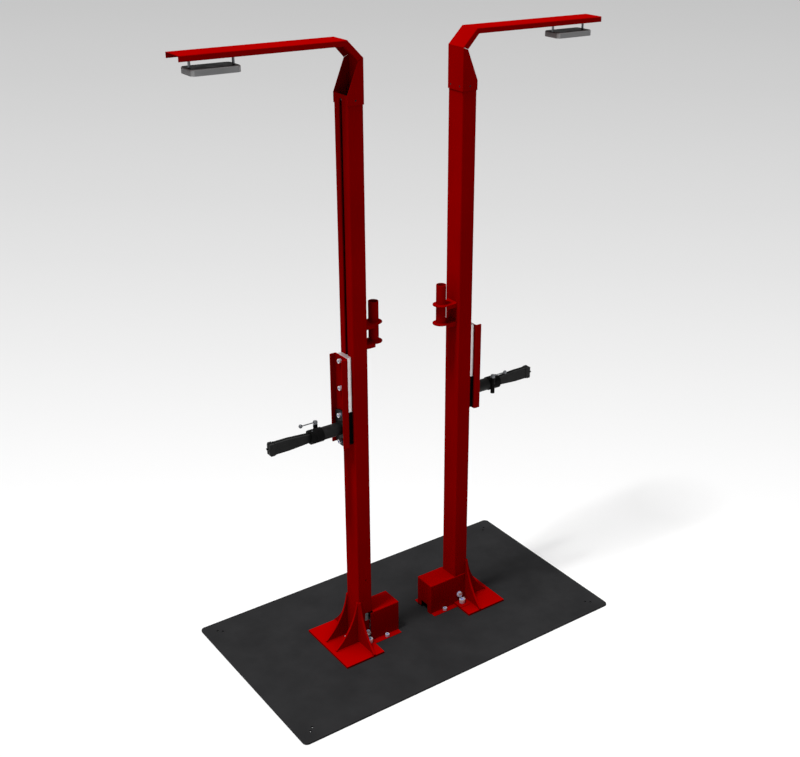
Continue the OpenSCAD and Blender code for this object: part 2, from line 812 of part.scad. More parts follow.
// A U channel with its web behind and its flanges forward
module carriage_channel() color("firebrick") difference() {
    translate([web_back, 0, carriage_low]) linear_extrude(carriage_h) intersection() {
        difference() {
            translate([channel_d, 0])
                rounded_rect(2 * channel_d, channel_w, channel_fold_r);
            translate([channel_d + channel_t, 0])
                rounded_rect(2 * channel_d, channel_w - 2 * channel_t, channel_fold_r - channel_t);
        }
        translate([0, -channel_w]) square([channel_d, 2 * channel_w]);
    }
    for (z = bolt_z)
        along_x([web_back - overrun, 0, z], channel_t + 2 * overrun, m10[0] + seat);
}

// A block that runs on the mast's front face, with a round-ended tongue in the slot
module guide_block(w, low, high) difference() {
    union() {
        translate([block_back + block_t / 2, 0, low]) linear_extrude(high - low)
            rounded_rect(block_t, w, block_edge_r);
        box([carrier_front, -tongue_w / 2, low + tongue_w / 2],
            [block_back + block_edge_r, tongue_w / 2, high - tongue_w / 2]);
        for (z = [low + tongue_w / 2, high - tongue_w / 2])
            along_x([carrier_front, 0, z], block_back + block_edge_r - carrier_front,
                    tongue_w / 2);
    }
    for (z = bolt_z)
        along_x([carrier_front - overrun, 0, z], block_t + tube_wall + 3 * overrun, m10[0] + seat);
}

module slide_block() color("whitesmoke") guide_block(slide_block_w, block_split, carriage_top);

module lower_block() color([0.08, 0.08, 0.08])
    guide_block(lower_block_w, lower_block_low, lower_block_top);

// The two upper bolts stand on the web, the two lower ones on the clamp's flange
module carriage_bolts() color("gainsboro")
    for (i = [0:3]) {
        face = i < 2 ? web_front : flange_front;
        translate([face, 0, bolt_z[i]])
            rotate([0, 90, 0]) cap_screw(m10, face - carrier_back);
    }

// A round flange cut to fit the channel, with the arm tube and its turned end
module clamp_arm() color([0.13, 0.13, 0.13]) difference() {
    union() {
        intersection() {
            along_x([web_front, 0, clamp_z], flange_t, flange_r);
            box([0, channel_t - channel_w / 2 + flange_side_gap, 0],
                [2 * arm_end, channel_w / 2 - channel_t - flange_side_gap, mast_top]);
        }
        translate([flange_front, 0, clamp_z]) rotate([0, 90, 0]) rotate_extrude() polygon([
            [0, 0],
            [arm_r + weld_leg, 0],
            [arm_r, weld_leg],
            [arm_r, arm_l],
            [spigot_r, arm_l],
            [spigot_r, arm_l + run_gap + pinch_back - groove_w / 2],
            [spigot_r - groove_d, arm_l + run_gap + pinch_back - groove_w / 2],
            [spigot_r - groove_d, arm_l + run_gap + pinch_back + groove_w / 2],
            [spigot_r, arm_l + run_gap + pinch_back + groove_w / 2],
            [spigot_r, arm_l + spigot_l],
            [0, arm_l + spigot_l]
        ]);
    }
    along_x([flange_front, 0, clamp_z], arm_l + spigot_l + overrun, arm_bore_r);
    for (z = [bolt_z[2], bolt_z[3]])
        along_x([web_front - overrun, 0, z], flange_t + 2 * overrun, m10[0] + seat);
}

// The swivelling head: a slit collar with its pinch boss, and the slotted jaw block
module jaw_collar() color([0.07, 0.07, 0.07]) translate([0, 0, clamp_z]) difference() {
    union() {
        along_x([collar_start, 0, 0], collar_l, collar_r);
        translate([collar_end - overrun, 0, 0]) rotate([90, 0, 90])
            linear_extrude(block_l + overrun) rounded_rect(block_w, block_h, block_corner_r);
        along_z([pinch_x, -pinch_side, -pinch_reach], 2 * pinch_reach, boss_r);
    }
    along_x([collar_start - overrun, 0, 0], spigot_l + 2 * overrun, spigot_r + fit);
    along_z([pinch_x, -pinch_side, -collar_r * 2], 4 * collar_r, pinch_r + fit);
    box([collar_start - overrun, -2 * collar_r, -pinch_slit / 2],
        [collar_start + pinch_slit_l, -spigot_r / 2, pinch_slit / 2]);
    box([jaw_slot_x, -jaw_face - jaw_t, -jaw_root_h / 2 - jaw_clear],
        [head_end + overrun, jaw_slot_side, jaw_root_h / 2 + jaw_clear]);
    along_z([jaw_pin_x, jaw_pin_side, -block_h], 2 * block_h, jaw_pin_r + seat);
}

module jaw_pin() color("dimgray")
    along_z([jaw_pin_x, jaw_pin_side, clamp_z - block_h / 2 - pin_head_h],
            block_h + 2 * pin_head_h, jaw_pin_r);

// Side view of a jaw bar and its nose, from x to the tip
module jaw_side(x) {
    straight = head_end + jaw_taper_l;
    nose = jaw_tip - nose_l;
    polygon([
        [x, -jaw_root_h / 2], [head_end, -jaw_root_h / 2], [straight, -jaw_h / 2],
        [nose, -jaw_h / 2], [nose, -nose_h / 2 + nose_chamfer],
        [nose + nose_chamfer, -nose_h / 2],
        [jaw_tip - nose_chamfer, -nose_h / 2], [jaw_tip, -nose_h / 2 + nose_chamfer],
        [jaw_tip, nose_h / 2 - nose_chamfer], [jaw_tip - nose_chamfer, nose_h / 2],
        [nose + nose_chamfer, nose_h / 2],
        [nose, nose_h / 2 - nose_chamfer], [nose, jaw_h / 2],
        [straight, jaw_h / 2], [head_end, jaw_root_h / 2], [x, jaw_root_h / 2]
    ]);
}

// Plan of the jaw on the +Y side, from x to the tip
module jaw_plan(x) {
    out = jaw_face + jaw_t;
    nose = jaw_tip - nose_l;
    polygon([
        [x, jaw_face], [jaw_tip, jaw_face], [jaw_tip, nose_w / 2 - nose_chamfer],
        [jaw_tip - nose_chamfer, nose_w / 2], [nose, nose_w / 2],
        [nose - nose_chamfer, out], [x, out]
    ]);
}

// A jaw on the +Y side: its plan and its side view crossed, with a screw head at the tip
module jaw(x) {
    intersection() {
        translate([0, 0, -nose_h]) linear_extrude(2 * nose_h) jaw_plan(x);
        plate_xz(-nose_w, 2 * nose_w) jaw_side(x);
    }
    along_x([jaw_tip - overrun, (jaw_face + nose_w / 2) / 2, 0], nub_l + overrun, nub_r);
}

module fixed_jaw() color([0.14, 0.14, 0.14])
    translate([0, 0, clamp_z]) mirror([0, 1, 0]) jaw(jaw_slot_x);

module moving_jaw() color([0.14, 0.14, 0.14]) translate([0, 0, clamp_z]) difference() {
    union() {
        jaw(jaw_pin_x);
        along_z([jaw_pin_x, jaw_pin_side, -jaw_root_h / 2], jaw_root_h, knuckle_r);
    }
    along_z([jaw_pin_x, jaw_pin_side, -jaw_root_h], 2 * jaw_root_h, jaw_pin_r + fit);
}

// The rubber strip on the inner face of the jaw on the +Y side
module pad() {
    straight = head_end + jaw_taper_l;
    root = jaw_root_h / 2 - pad_side_in;
    wide = jaw_h / 2 - pad_side_in;
    plate_xz(pad_gap / 2, pad_t) polygon([
        [pad_start, -root], [straight, -wide], [jaw_tip - pad_end_in, -wide],
        [jaw_tip - pad_end_in, wide], [straight, wide], [pad_start, root]
    ]);
}

module fixed_pad() color([0.03, 0.03, 0.03])
    translate([0, 0, clamp_z]) mirror([0, 1, 0]) pad();

module moving_pad() color([0.03, 0.03, 0.03]) translate([0, 0, clamp_z]) pad();

// The pinch screw, with a round head that is cross drilled for the lever
module pinch_screw() color("gray") translate([pinch_x, -pinch_side, clamp_z + pinch_reach]) {
    difference() {
        translate([0, 0, run_gap]) rotate_extrude() intersection() {
            square([boss_r, pinch_head_h]);
            translate([0, pinch_head_h - 2 * boss_r]) circle(2 * boss_r);
        }
        along_x([boss_r - lever_seat, 0, lever_z], lever_seat + overrun, lever_r + seat);
    }
    translate([0, 0, -2 * pinch_reach - overrun])
        cylinder(h = 2 * pinch_reach + overrun + run_gap, r = pinch_r);
}

module clamp_lever() color("silver")
    translate([pinch_x, -pinch_side, clamp_z + pinch_reach + lever_z]) {
        along_x([boss_r - lever_seat, 0, 0], lever_l - boss_r + lever_seat, lever_r);
        translate([lever_l, 0, 0]) sphere(lever_ball_r);
    }

// What rounds both folds of a straight stretch of the arm, l long, that leaves p at an angle
module fold_cutters(p, angle, l) {
    r = arm_fold_r;
    translate([p[0], 0, p[1]]) rotate([0, -angle, 0]) rotate([90, 0, 90])
        translate([0, -r, -2 * r]) linear_extrude(l + 4 * r)
            for (side = [0, 1])
                mirror([side, 0])
                    translate([arm_half_w - r, 0]) difference() {
                        square(r + overrun);
                        circle(r);
                    }
}

// The folded channel: a stretch up the mast, a sloping one and a level one, met in mitres
module lamp_arm() color("firebrick") difference() {
    plate_xz(-arm_half_w, 2 * arm_half_w) polygon([
        [arm_back, arm_low], [mast_front, arm_low], [mast_front, mast_top], throat, armpit,
        [arm_reach, armpit[1]], [arm_reach, arm_top], [bend_out, arm_top], [arm_back, bend_low]
    ]);
    plate_xz(-tube_w / 2, tube_w) polygon([
        [mast_back, arm_low - overrun],
        [mast_back, bend_low - arm_sheet * tan(half_bend)],
        [bend_out + arm_sheet * tan(half_bend), arm_top - arm_sheet],
        [arm_reach + overrun, arm_top - arm_sheet],
        [arm_reach + overrun, arm_low - overrun]
    ]);
    fold_cutters([arm_back, arm_low], 4 * half_bend, bend_low - arm_low);
    fold_cutters([arm_back, bend_low], 2 * half_bend, bend_rise / sin(2 * half_bend));
    fold_cutters([bend_out, arm_top], 0, arm_reach - bend_out);
    relief_slits();
    for (y = [-arm_screw_side, arm_screw_side])
        along_x([arm_back - overrun, y, arm_screw_h], arm_sheet + 2 * overrun, m6_r + seat);
    along_y([mast_x, -2 * tube_w, arm_screw_h], 4 * tube_w, m6_r + seat);
}

// A slit through both side flanges along the mitre of the lower bend
module relief_slits() {
    bend = [arm_back, bend_low];
    along = (throat - bend) / norm(throat - bend);
    across = [-along[1], along[0]] * slit_w / 2;
    near = bend + along * 2 * arm_sheet;
    far = throat + along * 2 * arm_sheet;
    plate_xz(-2 * tube_w, 4 * tube_w)
        polygon([near - across, far - across, far + across, near + across]);
}

// A slab with rounded corners whose top edge is rounded too
module soft_slab(l, w, h, r, edge) {
    for (sx = [-1, 1], sy = [-1, 1])
        translate([sx * (l / 2 - r), sy * (w / 2 - r), 0]) rotate_extrude() {
            square([r - edge, h]);
            square([r, h - edge]);
            translate([r - edge, h - edge]) intersection() {
                circle(edge);
                square(edge);
            }
        }
    rotate([90, 0, 90]) translate([0, 0, r - l / 2]) linear_extrude(l - 2 * r)
        soft_top(w, h, edge);
    rotate([90, 0, 0]) translate([0, 0, r - w / 2]) linear_extrude(w - 2 * r)
        soft_top(l, h, edge);
}

// A rectangle on the X axis with its two upper corners rounded
module soft_top(w, h, edge) {
    translate([-w / 2, 0]) square([w, h - edge]);
    translate([edge - w / 2, 0]) square([w - 2 * edge, h]);
    for (s = [-1, 1])
        translate([s * (w / 2 - edge), h - edge]) circle(edge);
}

// Places of the two studs along the lamp
function stud_places() = [lamp_out - lamp_l + stud_inset, lamp_out - stud_inset];

// A tray with its opening down, a step for the lens and a boss at each end for a stud
module lamp_housing() color("gray") translate([lamp_x, 0, lamp_low]) difference() {
    soft_slab(lamp_l, lamp_w, lamp_h, lamp_corner_r, lamp_edge_r);
    difference() {
        translate([0, 0, -overrun]) linear_extrude(lamp_h - lamp_roof + overrun)
            rounded_rect(lamp_l - 2 * lamp_wall - 2 * lens_step,
                         lamp_w - 2 * lamp_wall - 2 * lens_step,
                         lamp_corner_r - lamp_wall - lens_step);
        for (x = stud_places())
            along_z([x - lamp_x, 0, lens_recess + lens_t], lamp_h, stud_boss_r);
    }
    translate([0, 0, -overrun]) linear_extrude(lens_recess + lens_t + overrun)
        rounded_rect(lamp_l - 2 * lamp_wall, lamp_w - 2 * lamp_wall, lamp_corner_r - lamp_wall);
    for (x = stud_places())
        along_z([x - lamp_x, 0, lamp_h - stud_depth], stud_depth + overrun, stud_r + seat);
}

module lamp_lens() color("white") translate([lamp_x, 0, lamp_low + lens_recess])
    linear_extrude(lens_t)
        rounded_rect(lamp_l - 2 * lamp_wall - 2 * lens_gap,
                     lamp_w - 2 * lamp_wall - 2 * lens_gap,
                     lamp_corner_r - lamp_wall - lens_gap);

// A board under each lamp's roof with a grid of light emitting diodes
module led_boards() color("lightyellow") both() {
    board_l = lamp_l - 2 * stud_inset - 2 * stud_boss_r - board_in;
    board_w = lamp_w - 2 * lamp_wall - 2 * lens_step - board_in;
    board_z = lamp_top - lamp_roof - board_t;
    translate([lamp_x - board_l / 2, -board_w / 2, board_z]) cube([board_l, board_w, board_t]);
    for (i = [0 : led_columns - 1], j = [0 : led_rows - 1])
        translate([lamp_x + board_l * ((i + 0.5) / led_columns - 0.5),
                   board_w * ((j + 0.5) / led_rows - 0.5), board_z - led_t])
            translate([-led_size / 2, -led_size / 2, 0]) cube([led_size, led_size, led_t]);
}

module lamp_studs() color("gray") both()
    for (x = stud_places())
        along_z([x, 0, lamp_top - stud_depth],
                arm_top - arm_sheet - lamp_top + stud_depth, stud_r);

module socket_tube() color("firebrick") difference() {
    along_z([socket_x, 0, flange_low - flange_sheet],
            socket_top - flange_low + flange_sheet, socket_r);
    along_z([socket_x, 0, flange_low - flange_sheet - overrun],
            socket_top - flange_low + flange_sheet + 2 * overrun, socket_bore_r);
}

// A plate with a round nose and two turned-down sides, with a hole for the tube
module socket_flange(top) difference() {
    union() {
        translate([0, 0, top - flange_sheet]) linear_extrude(flange_sheet) {
            translate([socket_x, 0]) circle(flange_nose_r);
            translate([socket_x, -flange_w / 2]) square([mast_back - socket_x, flange_w]);
        }
        for (side = [0, 1])
            mirror([0, side, 0])
                box([skirt_end, flange_w / 2 - flange_sheet, top - flange_skirt],
                    [mast_back, flange_w / 2, top]);
    }
    along_z([socket_x, 0, top - flange_skirt - overrun], flange_skirt + 2 * overrun,
            socket_r + seat);
}

module socket_flanges() color("firebrick") {
    socket_flange(flange_high);
    socket_flange(flange_low);
}

base_plate();
gussets();
foot_bolts();
mast_bolts();
cover_screws();
arm_screws();
lamp_studs();
led_boards();
turned() mast_tube();  // mast_tube_left
mast_tube();  // mast_tube_right
turned() foot_plate();  // foot_plate_left
foot_plate();  // foot_plate_right
turned() motor_cover();  // motor_cover_left
motor_cover();  // motor_cover_right
turned() gear_motor();  // gear_motor_left
gear_motor();  // gear_motor_right
turned() screw_bearings();  // screw_bearings_left
screw_bearings();  // screw_bearings_right
turned() socket_tube();  // socket_tube_left
socket_tube();  // socket_tube_right
turned() socket_flanges();  // socket_flanges_left
socket_flanges();  // socket_flanges_right
turned() lamp_arm();  // lamp_arm_left
lamp_arm();  // lamp_arm_right
turned() lamp_housing();  // lamp_housing_left
lamp_housing();  // lamp_housing_right
turned() lamp_lens();  // lamp_lens_left
lamp_lens();  // lamp_lens_right
turned() lead_screw();  // lead_screw_left
lead_screw();  // lead_screw_right
turned() shaft_coupling();  // shaft_coupling_left
shaft_coupling();  // shaft_coupling_right
turned() drive_nut();  // drive_nut_left
drive_nut();  // drive_nut_right
turned() carriage_channel();  // carriage_channel_left
carriage_channel();  // carriage_channel_right
turned() slide_block();  // slide_block_left
slide_block();  // slide_block_right
turned() lower_block();  // lower_block_left
lower_block();  // lower_block_right
turned() carriage_bolts();  // carriage_bolts_left
carriage_bolts();  // carriage_bolts_right
turned() clamp_arm();  // clamp_arm_left
clamp_arm();  // clamp_arm_right
turned() jaw_collar();  // jaw_collar_left
jaw_collar();  // jaw_collar_right
turned() jaw_pin();  // jaw_pin_left
jaw_pin();  // jaw_pin_right
turned() fixed_jaw();  // fixed_jaw_left
fixed_jaw();  // fixed_jaw_right
turned() fixed_pad();  // fixed_pad_left
fixed_pad();  // fixed_pad_right
turned() moving_jaw();  // moving_jaw_left
moving_jaw();  // moving_jaw_right
turned() moving_pad();  // moving_pad_left
moving_pad();  // moving_pad_right
turned() pinch_screw();  // pinch_screw_left
pinch_screw();  // pinch_screw_right
turned() clamp_lever();  // clamp_lever_left
clamp_lever();  // clamp_lever_right
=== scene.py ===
# %% [markdown]
# # A two-mast bicycle lift, dressed for its picture
# The lift is a real machine for a bicycle workshop: two steel masts stand back to back on one
# plate, and each has a motor in its foot, a carriage with a clamp for the bicycle, a holder for
# a tool post and a lamp on a bent arm. All its solids come from the CAD model, at their real
# size. Here they get their surfaces, and the fine work that the solids leave out is added:
# the runs of weld, the thread of the lead screws and the ribs of the jaw pads. The lamps and
# the tubes of the tool holders are drawn again, a little larger than their solids.
# The CAD model is loaded first. Everything is in metres, in the CAD model's own place, and
# small sizes are written as so many times mm.

import json
import math

import bmesh
import bpy
from mathutils import Matrix, Vector


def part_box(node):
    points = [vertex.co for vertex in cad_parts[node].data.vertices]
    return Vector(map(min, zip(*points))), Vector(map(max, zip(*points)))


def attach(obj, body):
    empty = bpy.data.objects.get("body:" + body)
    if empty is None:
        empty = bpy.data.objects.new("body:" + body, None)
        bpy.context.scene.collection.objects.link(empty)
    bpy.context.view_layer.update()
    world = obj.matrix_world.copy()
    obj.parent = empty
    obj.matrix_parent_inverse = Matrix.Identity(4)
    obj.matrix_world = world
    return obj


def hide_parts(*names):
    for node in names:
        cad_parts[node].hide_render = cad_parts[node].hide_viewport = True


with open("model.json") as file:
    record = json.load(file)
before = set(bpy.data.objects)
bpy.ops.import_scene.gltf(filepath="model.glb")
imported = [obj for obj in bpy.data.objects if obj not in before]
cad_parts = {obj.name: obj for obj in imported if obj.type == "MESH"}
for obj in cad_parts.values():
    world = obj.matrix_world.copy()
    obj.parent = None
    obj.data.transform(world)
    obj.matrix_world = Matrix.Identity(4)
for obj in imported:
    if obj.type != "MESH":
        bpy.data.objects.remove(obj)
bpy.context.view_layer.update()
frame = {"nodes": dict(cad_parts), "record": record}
nodes = frame["nodes"]
record = frame["record"]
mm = 0.001

# %% [markdown]
# ## The camera
# A camera can be set by eye, but then masts and plate never quite line up with a photograph.
# This one was worked out from the corners of the plate and the edges of the masts. Its lens
# looks a little to one side of the picture's middle, which is what shift is for: the picture
# was cut from a wider one. The three axes of the camera are worked out from two angles and a
# small roll, and go into its matrix as columns.

# %% Place the camera
picture_w, picture_h = 800, 757
focal_pixels = 1195.9
axis_pixel = (467.2, 381.4)
camera_place = Vector((-2.2219, -3.2155, 2.8122))
turn, tilt, roll = (math.radians(a) for a in (-37.763, 24.566, 1.194))

lens = bpy.data.cameras.new("camera")
lens.sensor_width = 36
lens.lens = focal_pixels / picture_w * lens.sensor_width
lens.shift_x = (picture_w / 2 - axis_pixel[0]) / picture_w
lens.shift_y = (axis_pixel[1] - picture_h / 2) / picture_w
lens.clip_start = 0.05
lens.clip_end = 300

back = Vector((math.sin(turn) * math.cos(tilt), -math.cos(turn) * math.cos(tilt), math.sin(tilt)))
sideways = (-back).cross(Vector((0, 0, 1))).normalized()
above = back.cross(sideways)
right = sideways * math.cos(roll) + above * math.sin(roll)
up = above * math.cos(roll) - sideways * math.sin(roll)
camera = bpy.data.objects.new("camera", lens)
camera.matrix_world = Matrix((
    (right.x, up.x, back.x, camera_place.x),
    (right.y, up.y, back.y, camera_place.y),
    (right.z, up.z, back.z, camera_place.z),
    (0, 0, 0, 1)))
bpy.context.collection.objects.link(camera)
scene = bpy.context.scene
scene.camera = camera
scene.view_settings.view_transform = "Standard"
print("lens", round(lens.lens, 2), "mm, shift", round(lens.shift_x, 4), round(lens.shift_y, 4))

# %% [markdown]
# ## Colours
# A picture editor shows colours from 0 to 255 on a curved scale, and a shader wants them from
# 0 to 1 on a straight one. One small function turns the first into the second, so every colour
# below can be written as it was read off the photograph. `grey` is the same for a colour whose
# three parts are equal.

# %% A colour as a shader wants it
def linear(*colour):
    straight = []
    for value in colour:
        share = value / 255
        straight.append(share / 12.92 if share <= 0.04045 else ((share + 0.055) / 1.055) ** 2.4)
    return (*straight, 1.0)


def grey(value):
    return linear(value, value, value)


print("mid grey 128 is", round(grey(128)[0], 3))

# %% [markdown]
# ## Wiring nodes
# A finish or a sky is a net of small nodes, and most of its wiring is the same few moves. `put`
# feeds a socket from another node or with a plain value. `calculate` is one step of maths,
# `mixed` goes from one colour to another, `ramp` does so through several stops, and `spread`
# carries a value from one range to another. `seen_directly` tells the rays that make the
# picture from those that only gather light, because the two are shown different things below.

# %% Helpers for nodes
def put(tree, value, socket):
    """Feeds a socket from another node's output, or with a plain value."""
    if isinstance(value, bpy.types.NodeSocket):
        tree.links.new(value, socket)
    else:
        socket.default_value = value


def calculate(tree, operation, first, second):
    """One step of maths with two values."""
    node = tree.nodes.new("ShaderNodeMath")
    node.operation = operation
    put(tree, first, node.inputs[0])
    put(tree, second, node.inputs[1])
    return node.outputs[0]


def mixed(tree, amount, first, second):
    """A colour that goes from the first to the second as the amount rises."""
    node = tree.nodes.new("ShaderNodeMix")
    node.data_type = "RGBA"
    # Of the node's many inputs, 0 is the factor, and 6 and 7 are the two colours.
    for value, number in ((amount, 0), (first, 6), (second, 7)):
        put(tree, value, node.inputs[number])
    return node.outputs[2]


def ramp(tree, factor, stops):
    """A colour ramp with its stops given as (place, colour)."""
    node = tree.nodes.new("ShaderNodeValToRGB")
    bar = node.color_ramp
    while len(bar.elements) < len(stops):
        bar.elements.new(0.5)
    for element, (place, colour) in zip(bar.elements, stops):
        element.position = place
        element.color = colour
    tree.links.new(factor, node.inputs["Fac"])
    return node.outputs["Color"]


def spread(tree, value, before, after):
    """A value carried from the range before to the range after."""
    node = tree.nodes.new("ShaderNodeMapRange")
    ends = zip(("From Min", "From Max", "To Min", "To Max"), (*before, *after))
    for name, number in ends:
        node.inputs[name].default_value = number
    put(tree, value, node.inputs["Value"])
    return node.outputs["Result"]


def seen_directly(tree):
    """1 for a ray from the camera, a mirror or a glass, and 0 for one that only gathers light."""
    ray = tree.nodes.new("ShaderNodeLightPath").outputs
    either = calculate(tree, "MAXIMUM", ray["Is Camera Ray"], ray["Is Glossy Ray"])
    return calculate(tree, "MAXIMUM", either, ray["Is Transmission Ray"])

# %% [markdown]
# ## The light
# The photograph is a product picture: faces that look up are bright and upright faces are
# dark. The faces towards -X are lighter than those towards -Y, and the tops of both motor
# covers are dim, because masts and arms shade them. So the main light comes nearly from
# above and leans to -X. It is given a width of some degrees, as a large lamp has, which makes
# its shadows soft. Where such a light stands makes no difference, only where it points. The
# world adds a second soft light, strongest straight above and nothing at the horizon, like a
# white ceiling: it reaches the tops and hardly the upright faces, and the pale floor does the
# rest from below. A ray that comes from the camera, or from a polished face, sees the pale
# studio instead, so that bright metal has something to mirror. Its walls are palest at the
# horizon, and `wall_greys` gives their grey at three heights.

# %% Sun and world
ceiling_level = 1.02
ceiling_power = 4
sky_level = 2 * ceiling_level / (ceiling_power + 2)
wall_greys = ((0.0, 192), (0.12, 186), (1.0, 168))
sun_level = 0.76
sun_lean = (-0.35, -0.012)
sun_width = 11
sun_away = 4

sun = bpy.data.lights.new("studio_light", "SUN")
sun.energy = sun_level * math.pi
sun.angle = math.radians(sun_width)
sun_object = bpy.data.objects.new("studio_light", sun)
towards = Vector((sun_lean[0], sun_lean[1], 1)).normalized()
sun_object.rotation_euler = towards.to_track_quat("Z", "Y").to_euler()
sun_object.location = towards * sun_away
bpy.context.collection.objects.link(sun_object)

world = bpy.data.worlds.new("studio")
scene.world = world
world.use_nodes = True
tree = world.node_tree
tree.nodes.clear()
direction = tree.nodes.new("ShaderNodeTexCoord")
split = tree.nodes.new("ShaderNodeSeparateXYZ")
tree.links.new(direction.outputs["Generated"], split.inputs[0])
height = split.outputs["Z"]
gathered = calculate(tree, "POWER", calculate(tree, "MAXIMUM", height, 0), ceiling_power)
ceiling = tree.nodes.new("ShaderNodeBackground")
ceiling.inputs["Color"].default_value = (1, 1, 1, 1)
put(tree, calculate(tree, "MULTIPLY", gathered, ceiling_level), ceiling.inputs["Strength"])
wall = ramp(tree, height, [(place, grey(value)) for place, value in wall_greys])
studio = tree.nodes.new("ShaderNodeBackground")
tree.links.new(wall, studio.inputs["Color"])
choose = tree.nodes.new("ShaderNodeMixShader")
tree.links.new(seen_directly(tree), choose.inputs[0])
tree.links.new(ceiling.outputs[0], choose.inputs[1])
tree.links.new(studio.outputs[0], choose.inputs[2])
world_out = tree.nodes.new("ShaderNodeOutputWorld")
tree.links.new(choose.outputs[0], world_out.inputs[0])
print("sun leans", round(math.degrees(math.acos(towards.z)), 1), "degrees from overhead")

# %% [markdown]
# ## The floor
# The floor is one very large disc, pale round the lift and greyer far away, which gives the
# picture its soft grey top without a wall. Its colour follows the distance from the middle,
# read from the disc's own coordinates. In the photograph every row of the floor has one grey,
# so the distance is measured with its part across the picture shortened: the rings of equal
# grey are long ovals, and the picture sees only their flat sides. Each stop below is a distance
# in metres and the grey that is seen there. For light that bounces off it the floor is darker
# than it looks, or it would light the upright faces from below far more than in the photograph.
# The disc lies a little below the plate's underside, so that the two never share a plane.

# %% Make the floor
floor_reach, floor_sides = 90, 96
floor_drop = 0.4 * mm
fade_reach = 25
oval_length = 1 / 0.3
bounce_grey = 0.4
top_level = sky_level + sun_level * towards.z
floor_greys = ((0.5, 268), (1.1, 255), (1.7, 248), (2.0, 245), (2.67, 239), (3.5, 233), (4.3, 228),
               (5.85, 221), (7.2, 217), (9.0, 212), (11.3, 207), (16.6, 200), (24.0, 193))

shape = bmesh.new()
bmesh.ops.create_circle(shape, cap_ends=True, cap_tris=True, segments=floor_sides,
                        radius=floor_reach)
bmesh.ops.translate(shape, verts=shape.verts, vec=(0, 0, -floor_drop))
mesh = bpy.data.meshes.new("studio_floor")
shape.to_mesh(mesh)
shape.free()
floor = bpy.data.objects.new("studio_floor", mesh)
bpy.context.collection.objects.link(floor)

paint = bpy.data.materials.new("studio_floor")
paint.use_nodes = True
tree = paint.node_tree
tree.nodes.clear()
place = tree.nodes.new("ShaderNodeTexCoord")
oval = tree.nodes.new("ShaderNodeMapping")
oval.vector_type = "TEXTURE"
oval.inputs["Rotation"].default_value = (0, 0, turn + math.pi / 2)
oval.inputs["Scale"].default_value = (1, oval_length, 1)
tree.links.new(place.outputs["Object"], oval.inputs["Vector"])
length = tree.nodes.new("ShaderNodeVectorMath")
length.operation = "LENGTH"
tree.links.new(oval.outputs["Vector"], length.inputs[0])
share = calculate(tree, "DIVIDE", length.outputs["Value"], fade_reach)


def floor_colour(value):
    """The colour that looks like this grey in the light that the floor gets."""
    level = grey(value)[0] / top_level
    return (level, level, level, 1)


pale = ramp(tree, share, [(metres / fade_reach, floor_colour(value))
                          for metres, value in floor_greys])
matt = tree.nodes.new("ShaderNodeBsdfDiffuse")
dim = (bounce_grey, bounce_grey, bounce_grey, 1)
tree.links.new(mixed(tree, seen_directly(tree), dim, pale), matt.inputs["Color"])
floor_out = tree.nodes.new("ShaderNodeOutputMaterial")
tree.links.new(matt.outputs[0], floor_out.inputs["Surface"])
floor.data.materials.append(paint)
print("floor radius", floor_reach, "m")

# %% [markdown]
# ## How a finish is built
# Each finish starts from Blender's Principled shader. What is the same all over a surface is
# set on its own socket. What varies is a pattern: noise read in the piece's own coordinates,
# in features per metre, so that a grain has its real size. `shade` turns a pattern into two
# close colours, `gloss` into a range of roughness, and `relief` into small bumps of a given
# depth. Two helpers paint light and shade into the colour itself. One is painted shade: it mixes
# a dark tint in where other surfaces are near, which the ambient occlusion node measures. The
# other is a painted highlight: it mixes a paler colour in on the rounded edges of a box, which
# it finds by their normal, which points along no axis.

# %% Helpers for finishes
noise_range = (0.3, 0.7)
flat_to_round = (0.98, 0.85)


def start_finish(name, colour, roughness, **sockets):
    material = bpy.data.materials.new(name)
    material.use_nodes = True
    shader = material.node_tree.nodes["Principled BSDF"]
    shader.inputs["Base Color"].default_value = linear(*colour)
    shader.inputs["Roughness"].default_value = roughness
    for socket, value in sockets.items():
        shader.inputs[socket.replace("_", " ")].default_value = value
    return material, shader


def grain(material, scale, stretch=(1, 1, 1), detail=3.0):
    tree = material.node_tree
    place = tree.nodes.new("ShaderNodeTexCoord")
    mapping = tree.nodes.new("ShaderNodeMapping")
    mapping.inputs["Scale"].default_value = stretch
    noise = tree.nodes.new("ShaderNodeTexNoise")
    noise.inputs["Scale"].default_value = scale
    noise.inputs["Detail"].default_value = detail
    tree.links.new(place.outputs["Object"], mapping.inputs["Vector"])
    tree.links.new(mapping.outputs["Vector"], noise.inputs["Vector"])
    return noise.outputs["Fac"]


def shade(material, shader, pattern, dark, light, low=0.35, high=0.65):
    tree = material.node_tree
    colour = ramp(tree, pattern, [(low, linear(*dark)), (high, linear(*light))])
    tree.links.new(colour, shader.inputs["Base Color"])


def gloss(material, shader, pattern, smooth, rough):
    tree = material.node_tree
    roughness = spread(tree, pattern, noise_range, (smooth, rough))
    tree.links.new(roughness, shader.inputs["Roughness"])


def relief(material, shader, pattern, depth):
    tree = material.node_tree
    bump = tree.nodes.new("ShaderNodeBump")
    bump.inputs["Strength"].default_value = 1.0
    bump.inputs["Distance"].default_value = depth
    tree.links.new(pattern, bump.inputs["Height"])
    if shader.inputs["Normal"].links:
        tree.links.new(shader.inputs["Normal"].links[0].from_socket, bump.inputs["Normal"])
    tree.links.new(bump.outputs["Normal"], shader.inputs["Normal"])


def tinted(material, shader, amount, colour):
    """Mixes a colour into the finish, as much of it as the amount says."""
    tree = material.node_tree
    base = shader.inputs["Base Color"]
    tree.links.new(mixed(tree, amount, base.links[0].from_socket, linear(*colour)), base)


